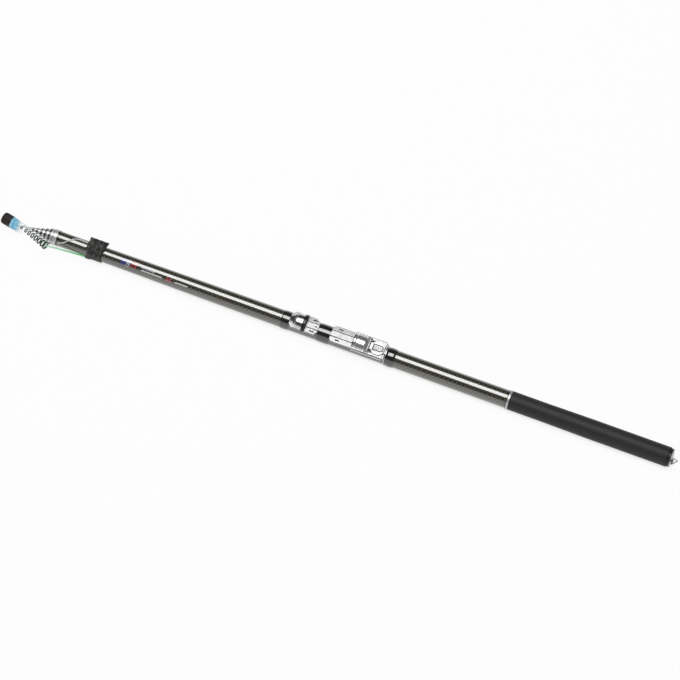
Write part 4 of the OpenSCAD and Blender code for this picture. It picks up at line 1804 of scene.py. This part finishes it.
    def lever_outline(self) -> list:
        """List the corners of the lever, seen from above.

        Returns:
            Corners [x, y] against the clock.
        """
        x0, x1, w, k, c = (
            self.pin_x, self.rear_x, self.lever_half, self.neck_half, self.lever_corner
        )
        neck, wide = x0 + self.neck_end, x0 + self.shoulder
        return [
            [x0, -k], [neck, -k], [wide, -w], [x1 - c, -w], [x1, -w + c],
            [x1, w - c], [x1 - c, w], [wide, w], [neck, k], [x0, k],
        ]

    def lever(self) -> list[Shell]:
        """Work out the lever plate, with a sunk line and ribs on its thumb pad, and its knuckle.

        Returns:
            The closed surfaces of both.
        """
        x0, x1, h, k = self.pin_x + 6.8, self.rear_x, self.pad_half, self.knuckle_half
        outline = dense(rounded(self.lever_outline(), 0.5, 4), self.edge, True)
        grid = wafer(outline, self.lever_low, self.lever_high, self.edge, 44)
        pad = [
            [x0, -h], [x1 - 4.2, -h], [x1 - 2.2, -2.4], [x1 - 2.2, 2.4], [x1 - 4.2, h], [x0, h]
        ]
        inside = inside_depth(pad, grid[..., 0], grid[..., 1])
        line = 0.5 * within(inside, 0.85, 0.7)
        ribs = 1 + np.cos(grid[..., 1] * 2 * np.pi / self.rib_pitch)
        sunk = line + 0.09 * ease(inside - 1.2) * ribs
        grid[..., 2] -= np.where(grid[..., 2] > self.lever_high - 0.01, sunk, 0.0)
        ends = [[-k, 0.0], [-k, self.knuckle_r], [k, self.knuckle_r], [k, 0.0]]
        bar = turned(dense(rounded(ends, 0.4, 4, False), 1.0), 40)
        places = [bar[..., 1] + self.pin_x, bar[..., 0], bar[..., 2] + self.pin_z]
        return [Shell(grid), Shell(np.dstack(places), finish=1)]

    def build(self) -> None:
        """Make the moving pieces of the seat."""
        slide = [
            self.barrel(), self.mouth_shadow_band(), self.deck(),
            self.wing(1), self.wing(-1), self.lug(1), self.lug(-1),
        ]
        make_piece(
            "sliding_hood", slide,
            [self.finishes.deck, self.finishes.chrome, self.finishes.satin, self.finishes.lip],
            "reel_slide", ["slide_hood"],
        )
        make_piece(
            "locking_lever", self.lever(), [self.finishes.lever, self.finishes.satin],
            "seat_lever", ["lock_lever"],
        )
        soften_node(
            "lever_hinge_pin", "lever_pin", self.finishes.steel, "reel_slide", 0.15
        )


@dataclass
class RodStrap(SubAssembly):
    """Hook-and-loop strap wound round the tube, with its loose end standing off.

    The centre line is a spiral in the Y-Z plane. Its radius steps up by one
    thickness over the strap's own start, and the free end lifts away. The
    section is a flat rounded bar that drifts to the rear as it goes round, and
    widens where it is pulled tight below and at its free end. Its front edge
    bulges over the green cord.
    """

    front_x: float = -895.0
    width: float = 23.0
    thick: float = 1.45
    inner_r: float = 11.2
    start_deg: float = 60.0
    end_deg: float = 500.0
    over_deg: float = 325.0  # turn from its start to the climb over itself
    climb_deg: float = 40.0
    free_deg: float = 72.0
    drift: float = 3.6
    creep: float = 2.6  # shift to the rear before the free end
    flare: float = 0.24
    lift: float = 4.6
    tight: float = 0.09  # share by which it widens below
    tight_deg: float = 337.0
    cord_lift: float = 1.35
    cord_deg: float = 353.0
    cord_x: float = -882.0

    def shell(self) -> Shell:
        """Work out the strap.

        Returns:
            Its closed surface.
        """
        a = np.linspace(self.start_deg, self.end_deg, 260)
        over = ease((a - (self.start_deg + self.over_deg)) / self.climb_deg)
        free = ease((a - (self.end_deg - self.free_deg)) / self.free_deg)
        wave = 0.10 * np.sin(np.radians(a * 3.1)) + 0.06 * np.sin(np.radians(a * 7.3))
        layers = self.thick * (0.5 + 1.03 * over)
        radius = self.inner_r + layers + self.lift * free**1.5 + 0.10 + 0.5 * wave
        path = skin(0.0 * a, radius, a)
        t = np.gradient(path, axis=0)
        t /= np.linalg.norm(t, axis=1, keepdims=True)
        out = np.cross(t, [1.0, 0.0, 0.0])
        out *= np.sign((out * path).sum(1))[:, None]
        half, slim = self.width / 2, self.thick / 2
        corners = [[-half, -slim], [half, -slim], [half, slim], [-half, slim]]
        across, rise = dense(rounded(corners, 0.6, 4), 1.5, True).T
        spread = ease((a - self.start_deg - 90) / 180)
        shift = self.creep * spread + (self.drift - self.creep) * free
        wide = 1 + self.flare * free + self.tight * np.exp(-(((a - self.tight_deg) / 45) ** 2))
        along = (self.front_x + half + shift)[:, None] + across[None] * wide[:, None]
        ripple = 0.12 * np.sin(across[None] * 0.9 + a[:, None] * 0.05) * over[:, None]
        bell = np.exp(-(((a - self.cord_deg) / 12) ** 2))[:, None]
        bulge = self.cord_lift * bell * ease((self.cord_x - along) / 6)
        points = path[:, None] + out[:, None] * (rise[None] + ripple + bulge)[..., None]
        points[..., 0] += along
        return Shell(points, capped=True)

    def build(self) -> None:
        """Make the strap."""
        make_piece(
            "hook_strap", [self.shell()], [self.finishes.tape], "butt", ["rod_strap"]
        )


@dataclass
class LaidCords(SubAssembly):
    """Green cord from the first ring to the strap, and the pale line over the tube."""

    cord_r: float = 1.15
    line_r: float = 0.7
    strap_x: float = -895.0
    strap_in: float = 11.18
    strap_r: float = 11.15
    ring_x: float = -951.0
    ring_h: float = 24.8
    cord_deg: float = -7.0
    sag: float = 1.35  # power of the fall towards the strap
    line_lead: float = 6.0  # angle of its start past the guides
    line_deg: float = 113.0
    line_climb: float = 0.62  # share of its run in which it climbs
    line_start: float = 9.05

    def cord_path(self) -> np.ndarray:
        """Route of the green cord: from the ring it falls to the strap and runs level under it.

        Returns:
            Points of its centre line.
        """
        t = np.linspace(-2 / 33, 38 / 33, 90)
        share = np.where(t < 1, 1 - np.maximum(1 - t, 0.0) ** self.sag, 1.0)
        start = skin(self.ring_x, self.ring_h, GUIDE_DEG)
        end = skin(self.strap_x, self.strap_in + self.cord_r + 0.05, self.cord_deg)
        path = start + (end - start) * share[:, None]
        path[:, 0] = self.ring_x + (self.strap_x - 2 - self.ring_x) * t
        return path

    def line_path(self) -> np.ndarray:
        """Route of the pale line: it climbs round the tube and runs level under the strap.

        Returns:
            Points of its centre line.
        """
        t = np.linspace(0.0, 1.0, 90)
        first, lead = NEST.mouth_x + self.line_start, GUIDE_DEG + self.line_lead
        x = first + (self.strap_x + 4 - first) * t
        angle = lead + (self.line_deg - lead) * ease(t / self.line_climb)
        return skin(x, self.strap_r + self.line_r + 0.1, angle)

    def build(self) -> None:
        """Make both cords."""
        make_piece(
            "green_tether", [Shell(swept(self.cord_path(), self.cord_r, 20), capped=True)],
            [self.finishes.cord], "butt", ["tether_cord"],
        )
        make_piece(
            "pale_keeper_line", [Shell(swept(self.line_path(), self.line_r, 16), capped=True)],
            [self.finishes.line], "butt", ["keeper_line"],
        )


@dataclass
class LineGuide(SubAssembly):
    """One line guide: collar, leaning leg, ring seat and ring.

    Attributes:
        number: 0 on the butt, 1 to 5 on the sections, 6 loose, 7 at the tip.
        x: Middle of the collar.
        collar: Collar outline as front, rear, inner and outer size.
        foot_len: Length of the leg's foot.
        hole_r: Radius of the hole in the leg, or 0.
        tilt: Lean of the ring in degrees.
    """

    number: int
    x: float
    collar: tuple[float, float, float, float]
    foot_len: float
    hole_r: float = 0.0
    tilt: float = 25.0

    @property
    def height(self) -> float:
        """Height of the ring's centre over the rod axis."""
        return 24.8 - 2.81 * self.number

    @property
    def ring_r(self) -> float:
        """Outer radius of the ring."""
        return 6.0 - 0.4 * self.number

    @property
    def lean(self) -> float:
        """Distance that the ring leans towards the tip."""
        return 7.5 - 0.35 * self.number

    @property
    def bore(self) -> float:
        """Radius of the ring's opening."""
        return self.ring_r * 0.6

    @property
    def seat(self) -> float:
        """Radius at which the ring sits in its band."""
        return self.bore + (self.ring_r - self.bore) * 0.62

    @property
    def ring_half(self) -> float:
        """Half of the band's width."""
        return self.ring_r * 0.18

    def stand(self, points: np.ndarray) -> np.ndarray:
        """Turn points of the upright guide to their place on the rod."""
        return turn_about(points, Axis.X, 90 - GUIDE_DEG) + np.array([self.x, 0.0, 0.0])

    def ring_place(self, points: np.ndarray) -> np.ndarray:
        """Tilt points of a ring about X to their place on the rod."""
        tilted = turn_about(points, Axis.Y, -self.tilt)
        return self.stand(tilted + np.array([-self.lean, 0.0, self.height]))

    def ring_shell(self) -> Shell:
        """Work out the polished ring, with rounded lips.

        Returns:
            Its closed surface.
        """
        bore, seat, w = self.bore, self.seat, self.ring_half
        mid = (bore + seat) / 2
        half = [[-w * 0.5, bore], [-w - 0.25, mid], [-w - 0.08, seat + 0.3], [-w + 0.2, seat]]
        outline = rounded(half + [[-x, r] for x, r in reversed(half)], 0.5, 5)
        return Shell(self.ring_place(turned(outline, 64)), rows_close=True)

    def seat_shell(self) -> Shell:
        """Work out the band that holds the ring.

        Returns:
            Its closed surface.
        """
        seat, w = self.seat + 0.02, self.ring_half
        outline = rounded([[-w, seat], [-w, self.ring_r], [w, self.ring_r], [w, seat]], 0.35, 5)
        return Shell(self.ring_place(turned(outline, 64)), rows_close=True, finish=1)

    def leg_shell(self) -> Shell:
        """Work out the flat leg from the collar to the ring, with a hole where there is one.

        Each point of the leg's outline is joined to the hole's rim, or to the
        middle, on the front face, round the edge and on the back face.

        Returns:
            Its closed surface.
        """
        reach = self.ring_r - (self.ring_r - self.seat) / 2
        tilt, foot, w = math.radians(self.tilt), self.foot_len / 2, self.ring_half
        top_x = -self.lean + reach * math.sin(tilt)
        top_z = self.height - reach * math.cos(tilt)
        foot_z = self.collar[3] - 0.2
        corners = [[-foot, foot_z], [foot, foot_z], [top_x + w, top_z], [top_x - w, top_z]]
        outline = dense(rounded(corners, 0.4, 4), 0.5, True)
        middle = np.array([top_x * 0.28, foot_z + (top_z - foot_z) * 0.35])
        away = outline - middle
        far = np.linalg.norm(away, axis=1, keepdims=True)
        hole = middle + away / far * self.hole_r
        soft = outline - away / far * np.minimum(0.3, far * 0.3)
        rim = middle + away / far * np.minimum(self.hole_r + 0.2, far * 0.5)
        flats = np.stack([hole, rim, soft, outline, outline, soft, rim, hole])
        sides = np.array([0.75, 1.0, 1.0, 0.7, -0.7, -1.0, -1.0, -0.75]) * self.ring_r * 0.15
        across = np.repeat(sides[:, None], len(outline), 1)
        grid = np.dstack([flats[..., 0], across, flats[..., 1]])
        return Shell(self.stand(grid), rows_close=self.hole_r > 0)

    def build(self, name: str, node: str, body: str) -> None:
        """Make the frame and the ring.

        Args:
            name: First words of the pieces' names.
            node: First words of the frame node and the ring node that they stand for.
            body: Body that they ride on.
        """
        frame = [ring_shell(*self.collar, 0.4, 2), self.leg_shell(), self.seat_shell()]
        look = self.finishes
        make_piece(
            name + "_frame", frame, [look.chrome, look.ceramic, look.bloom],
            body, [node + "_frame"],
        )
        make_piece(
            name + "_ring", [self.ring_shell()], [look.ceramic],
            body, [node + "_ring"],
        )


@dataclass
class TubeSection(SubAssembly):
    """One sliding section: tube, winding and guide.

    Attributes:
        index: 0 for section two, up to 4 for section six.
        winding: Width of the winding.
        winding_low: Distance of the winding below the collar.
    """

    index: int
    winding: float = 2.3
    winding_low: float = 0.25

    def tube_shell(self) -> Shell:
        """Work out the tapered tube wall, with the mouth that grips the next section.

        Returns:
            Its closed surface.
        """
        i = self.index
        front, bore, root = NEST.front_x(i), NEST.bore(i + 1), NEST.root_r(i)
        outline = [
            [NEST.rear_x, root], [front, NEST.tip_r(i)], [front, bore],
            [front + NEST.overlap, bore + NEST.taper(i + 1) * NEST.overlap],
            [NEST.rear_x, root - NEST.walls[i] - 0.2],
        ]
        return Shell(turned(dense(rounded(outline, 0.12, 2), 12.0, True), 64), rows_close=True)

    def build(self) -> None:
        """Make the section's pieces."""
        i = self.index
        word = f"section_{i + 2}"
        front, inner, collar = NEST.front_x(i), NEST.tip_r(i) + NEST.glue, NEST.collar_r(i)
        x0, x1 = front + self.winding, front + NEST.pitch - NEST.stop_gap
        make_piece(
            word + "_tube", [self.tube_shell()],
            [self.finishes.tube], word, [word + "_blank"],
        )
        make_piece(
            word + "_thread", [ring_shell(front, x0, inner, collar - self.winding_low, 0.5)],
            [self.finishes.thread], word, [word + "_winding"],
        )
        size = (x0, x1, inner, collar)
        guide = LineGuide(self.finishes, i + 1, (x0 + x1) / 2, size, x1 - x0 - 0.4)
        guide.build(word + "_line", word + "_guide", word)


@dataclass
class TipEnd(SubAssembly):
    """Solid tip section with its end guide, and the loose guide on it."""

    float_len: float = 3.2
    float_share: float = 0.475
    top_len: float = 6.0
    top_past: float = 0.6
    top_wall: float = 0.65

    def build(self) -> None:
        """Make the tip's pieces and the loose guide's."""
        rear, front, tip = NEST.rear_x, NEST.front_x(5), NEST.tip_r(5)
        ends = [[rear, 0.0], [rear, NEST.root_r(5)], [front, tip], [front, 0.0]]
        make_piece(
            "tip_rod", [Shell(turned(dense(rounded(ends, 0.2, 2, False), 12.0), 40))],
            [self.finishes.tube], "tip_section", ["tip_blank"],
        )
        x0, x1 = front - self.top_past, front - self.top_past + self.top_len
        collar = (x0, x1, tip + 0.04, tip + self.top_wall)
        top = LineGuide(self.finishes, 7, (x0 + x1) / 2, collar, self.top_len - 2)
        top.build("tip_top", "tip_top", "tip_section")
        x1 = NEST.front_x(4) - NEST.stop_gap
        x0 = x1 - self.float_len
        bore = tip + NEST.drops[5] * self.float_share + NEST.draw_fit
        collar = (x0, x1, bore, NEST.tip_r(4) - NEST.stop_gap)
        loose = LineGuide(self.finishes, 6, (x0 + x1) / 2, collar, self.float_len - 0.4)
        loose.build("loose_line", "float_guide", "float_guide")


@dataclass
class ButtMouth(SubAssembly):
    """Guide and winding at the mouth of the butt section."""

    collar_len: float = 6.0
    collar_wall: float = 0.7
    collar_back: float = 0.2
    leg_hole_r: float = 0.9
    wrap_back: float = 6.25
    wrap_w: float = 2.6
    wrap_wall: float = 0.35

    def build(self) -> None:
        """Make the first guide and the winding behind it."""
        x0, r = NEST.mouth_x + self.collar_back, NEST.mouth_r
        collar = (x0, x0 + self.collar_len, r + NEST.glue, r + self.collar_wall)
        middle = x0 + self.collar_len / 2
        guide = LineGuide(self.finishes, 0, middle, collar, self.collar_len - 1, self.leg_hole_r)
        guide.build("first_line", "butt_guide", "butt")
        x1 = NEST.mouth_x + self.wrap_back
        make_piece(
            "mouth_thread",
            [ring_shell(x1, x1 + self.wrap_w, r + NEST.glue, r + self.wrap_wall, 0.3)],
            [self.finishes.thread], "butt", ["mouth_wrap"],
        )


@dataclass
class TipGuard(SubAssembly):
    """Rubber cap, clear cup and the cord's stub in it."""

    end: tuple[float, float, float] = (-1026.0, 2.4, 0.0)
    tilt: float = 12.0
    r: float = 8.7
    core_r: float = 7.6  # cup inside the cap
    wall: float = 1.1
    length: float = 34.2
    cap_len: float = 15.0
    cap_floor: float = 3.0
    floor: float = 18.5
    lip_long: float = 2.4
    lip_rise: float = 0.14
    knot: tuple[float, float, float] = (-1004.4, -0.8, 0.0)
    ring: tuple[float, float, float] = (-994.65, 5.13, GUIDE_DEG)  # x, height and angle
    cord_r: float = 0.7
    knot_rise: float = 1.7

    def stand(self, points: np.ndarray) -> np.ndarray:
        """Tilt points to the guard's place."""
        return turn_about(points, Axis.Z, -self.tilt) + np.array(self.end)

    def lip(self) -> Shell:
        """Work out the smooth raised lip round the open end of the rubber cap.

        Returns:
            Its closed surface.
        """
        end, low, high = self.cap_len + 0.04, self.r - 0.6, self.r + self.lip_rise
        start = end - self.lip_long
        outline = rounded([[start, low], [start, high], [end, high], [end, low]], 0.4, 4)
        return Shell(self.stand(turned(outline, 80)), rows_close=True, finish=1)

    def cap(self) -> Shell:
        """Work out the rubber cap, with a rounded end.

        Returns:
            Its closed surface.
        """
        r, core, floor = self.r, self.core_r + NEST.glue, self.cap_floor - NEST.glue
        corners = [
            [0.0, 0.0], [0.0, r - 2.3], [1.1, r - 0.7], [4.0, r], [self.cap_len, r],
            [self.cap_len, core], [floor, core], [floor, 0.0],
        ]
        outline = dense(rounded(corners, 1.1, 6, False), 2.0)
        return Shell(self.stand(turned(outline, 80)))

    def cup(self) -> Shell:
        """Work out the clear cup, solid inside the cap and hollow past its floor.

        Returns:
            Its closed surface.
        """
        r, inner = self.r, self.r - self.wall
        corners = [
            [self.cap_floor, 0.0], [self.cap_floor, self.core_r], [self.cap_len, self.core_r],
            [self.cap_len, r - 0.1], [self.length, r - 0.4], [self.length, inner],
            [self.floor, inner - 0.1], [self.floor - 1, 0.0],
        ]
        outline = dense(rounded(corners, 0.5, 5, False), 2.0)
        return Shell(self.stand(turned(outline, 96)))

    def stub(self) -> Shell:
        """Work out the cord from its knot to the tip ring.

        The radius is the cord's with a bell curve for the knot, and is drawn in
        like a ball at the knot's end.

        Returns:
            Its closed surface.
        """
        start, t = np.array(self.knot), np.linspace(0.0, 1.0, 40)
        bulge = self.cord_r + self.knot_rise * np.exp(-(((t - 0.1) / 0.09) ** 2))
        taper = np.sqrt(np.clip(1 - ((0.06 - t) / 0.06).clip(0) ** 2, 0.02, 1.0))
        path = start + (skin(*self.ring) - start) * t[:, None]
        return Shell(swept(path, bulge * taper, 18), capped=True)

    def build(self) -> None:
        """Make the guard's pieces."""
        make_piece(
            "guard_end_cap", [self.cap(), self.lip()],
            [self.finishes.rubber, self.finishes.plastic], "tip_guard", ["guard_cap"],
        )
        make_piece(
            "guard_clear_cup", [self.cup()],
            [self.finishes.clear], "tip_guard", ["guard_cup"],
        )
        make_piece(
            "guard_cord_stub", [self.stub()],
            [self.finishes.stub], "tip_guard", ["guard_tether"],
        )


@dataclass
class ButtEnd(SubAssembly):
    """Screw cap with its end plate, eye and wire bail."""

    flange_x: float = 1.6
    flange_end: float = 5.2
    flange_r: float = 13.6
    plug_r: float = 9.15
    plug_x: float = -18.0
    plate_r: float = 11.4
    plate_thick: float = 0.5
    bail_x: float = 7.6
    bail_long: float = 7.6
    bail_wide: float = 9.0
    wire_r: float = 0.8
    bail_turn: float = 200.0

    def build(self) -> None:
        """Make the cap's pieces and the bail."""
        corners = [
            [self.plug_x, 0.0], [self.plug_x, self.plug_r], [self.flange_x, self.plug_r],
            [self.flange_x, self.flange_r], [self.flange_end, self.flange_r],
            [self.flange_end, 0.0],
        ]
        make_piece(
            "screw_cap", [Shell(turned(dense(rounded(corners, 0.9, 6, False), 3.0)))],
            [self.finishes.plastic], "end_cap", ["butt_cap"],
        )
        x0, x1, r = self.flange_end, self.flange_end + self.plate_thick, self.plate_r
        corners = [[x0, 0.0], [x0, r], [x1, r - 0.1], [x0 + 0.34, r * 0.55], [x1, 0.0]]
        make_piece(
            "end_plate", [Shell(turned(dense(rounded(corners, 0.3, 4, False), 1.5)))],
            [self.finishes.satin], "end_cap", ["cap_plate"],
        )
        soften_node("bail_holder", "bail_eye", self.finishes.steel, "end_cap", 0.3)
        x0 = self.bail_x
        corners = [[x0, -0.5, 0.0], [x0 + self.bail_long, 1.1, 0.0], [x0, self.bail_wide, 0.0]]
        loop = turn_about(dense(rounded(corners, 1.5, 8), 0.5, True), Axis.X, self.bail_turn)
        make_piece(
            "wire_bail", [Shell(swept(loop, self.wire_r, 16, closed=True), rows_close=True)],
            [self.finishes.steel], "bail", ["lanyard_bail"],
        )


@dataclass
class HiddenPieces(SubAssembly):
    """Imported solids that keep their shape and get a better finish."""

    def dress(self, nodes: dict[str, Piece]) -> None:
        """Give each solid its finish.

        Args:
            nodes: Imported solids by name.
        """
        chosen = {
            "butt_insert": self.finishes.plastic,
            "cap_gasket": self.finishes.rubber,
            "cap_pad": self.finishes.rubber,
        }
        for name, finish in chosen.items():
            mesh = nodes[name].data
            mesh.materials.clear()
            mesh.materials.append(finish)
            LOG.info("%s keeps its shape", name)


# Floor, light and camera


@dataclass
class Studio:
    """Pale floor, one overhead soft box, dim surroundings and the camera."""

    azimuth: float = 21.279
    elevation: float = 67.0
    distance: float = 27.132
    target: tuple[float, float, float] = (-0.50402, -0.0011, 0.0)
    lens: float = 1000.0
    sensor: float = 36.0
    box_angle: float = 10.0
    box_height: float = 4.0
    box_shift: float = -0.55
    box_size: tuple[float, float] = (2.6, 2.75)
    box_watts: float = 128.0
    low_tone: Colour = (0.92, 0.92, 0.92)
    high_tone: Colour = (0.06, 0.06, 0.062)
    high_from: float = 0.32
    far_dim: float = 0.4  # how much sooner the far side is dim
    floor_half: float = 12.0
    floor_tone: float = 0.95
    floor_glow: float = 0.94  # share of plain white that is seen
    shade_reach: float = 0.007
    shade_depth: float = 0.34

    def floor_finish(self) -> Material:
        """Make the floor's material: a matte tone, and white with a faint contact shade.

        Returns:
            The new material.
        """
        s = Shader("studio_floor")
        s.tree.nodes.remove(s.surface)
        matte = s.add("ShaderNodeBsdfDiffuse")
        matte.inputs[0].default_value = (self.floor_tone, self.floor_tone, self.floor_tone, 1.0)
        hollow = s.add("ShaderNodeAmbientOcclusion")
        hollow.inputs["Distance"].default_value = self.shade_reach
        white = s.add("ShaderNodeEmission")
        shade = s.span(hollow.outputs["AO"], 0.0, 1.0, 1.0 - self.shade_depth, 1.0)
        s.feed(shade, white.inputs[0])
        path = s.add("ShaderNodeLightPath").outputs
        seen = s.math("MAXIMUM", path["Is Camera Ray"], path["Is Glossy Ray"])
        seen = s.math("MAXIMUM", seen, path["Is Transmission Ray"])
        mix = s.add("ShaderNodeMixShader")
        s.feed(s.math("MULTIPLY", seen, self.floor_glow), mix.inputs[0])
        s.feed(matte.outputs[0], mix.inputs[1])
        s.feed(white.outputs[0], mix.inputs[2])
        s.feed(mix.outputs[0], s.out.inputs[0])
        return s.material

    def floor(self, z: float) -> None:
        """Lay a pale floor under the object.

        Args:
            z: Height of the floor in metres.
        """
        h = self.floor_half
        mesh = bpy.data.meshes.new("studio_floor")
        mesh.from_pydata([(-h, -h, z), (h, -h, z), (h, h, z), (-h, h, z)], [], [(0, 1, 2, 3)])
        mesh.materials.append(self.floor_finish())
        floor = bpy.data.objects.new("studio_floor", mesh)
        bpy.context.scene.collection.objects.link(floor)
        floor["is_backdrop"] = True

    def world(self) -> None:
        """Set surroundings that are pale low down on the camera's side and dim elsewhere."""
        world = bpy.data.worlds.new("studio_room")
        bpy.context.scene.world = world
        world.use_nodes = True
        nodes, join = world.node_tree.nodes, world.node_tree.links.new
        nodes.clear()
        split = nodes.new("ShaderNodeSeparateXYZ")
        join(nodes.new("ShaderNodeTexCoord").outputs["Generated"], split.inputs[0])
        lean = nodes.new("ShaderNodeMath")
        lean.operation = "MULTIPLY_ADD"
        lean.inputs[1].default_value = self.far_dim
        join(split.outputs[1], lean.inputs[0])
        join(split.outputs[2], lean.inputs[2])
        ramp = nodes.new("ShaderNodeValToRGB")
        stops = ramp.color_ramp.elements
        stops[0].position, stops[0].color = 0.0, (*self.low_tone, 1.0)
        stops[1].position, stops[1].color = self.high_from, (*self.high_tone, 1.0)
        join(lean.outputs[0], ramp.inputs[0])
        light = nodes.new("ShaderNodeBackground")
        join(ramp.outputs[0], light.inputs[0])
        join(light.outputs[0], nodes.new("ShaderNodeOutputWorld").inputs[0])

    def softbox(self) -> None:
        """Hang the soft box over the rod, a little behind it."""
        lamp = bpy.data.lights.new("overhead_softbox", "AREA")
        lamp.shape = "RECTANGLE"
        lamp.size, lamp.size_y = self.box_size
        lamp.energy = self.box_watts
        place = bpy.data.objects.new("overhead_softbox", lamp)
        tilt, high = math.radians(self.box_angle), self.box_height
        place.location = (self.target[0] + self.box_shift, math.tan(tilt) * high, high)
        place.rotation_euler = (-tilt, 0.0, 0.0)
        bpy.context.scene.collection.objects.link(place)

    def camera(self) -> None:
        """Set the camera at the photograph's viewing angle."""
        a, e = math.radians(self.azimuth), math.radians(self.elevation)
        back = np.array([math.sin(a) * math.cos(e), -math.cos(a) * math.cos(e), math.sin(e)])
        data = bpy.data.cameras.new("photo_camera")
        data.lens, data.sensor_width, data.clip_end = self.lens, self.sensor, 100.0
        camera = bpy.data.objects.new("photo_camera", data)
        camera.location = np.array(self.target) + back * self.distance
        camera.rotation_euler = (math.pi / 2 - e, 0.0, a)
        bpy.context.scene.collection.objects.link(camera)
        bpy.context.scene.camera = camera

    def build(self, floor_z: float) -> None:
        """Set up the whole studio.

        Args:
            floor_z: Height of the floor in metres.
        """
        self.camera()
        self.floor(floor_z)
        self.world()
        self.softbox()
        bpy.context.scene.view_settings.view_transform = "Standard"


def main() -> None:
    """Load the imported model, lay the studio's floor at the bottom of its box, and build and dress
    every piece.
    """
    logging.basicConfig(level=logging.INFO, format="%(name)s: %(message)s")
    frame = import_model()
    solid_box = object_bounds()
    Studio().build(solid_box[0].z)
    finishes = Finishes()
    order = [
        LaidCords, ButtBlank, Grip, ReelSeat, SlidingLock, RodStrap, ButtMouth,
        *[partial(TubeSection, index=i) for i in range(5)], TipEnd, TipGuard, ButtEnd,
    ]
    for assembly in order:
        assembly(finishes).build()
    HiddenPieces(finishes).dress(frame["nodes"])


if __name__ == "__main__":
    main()
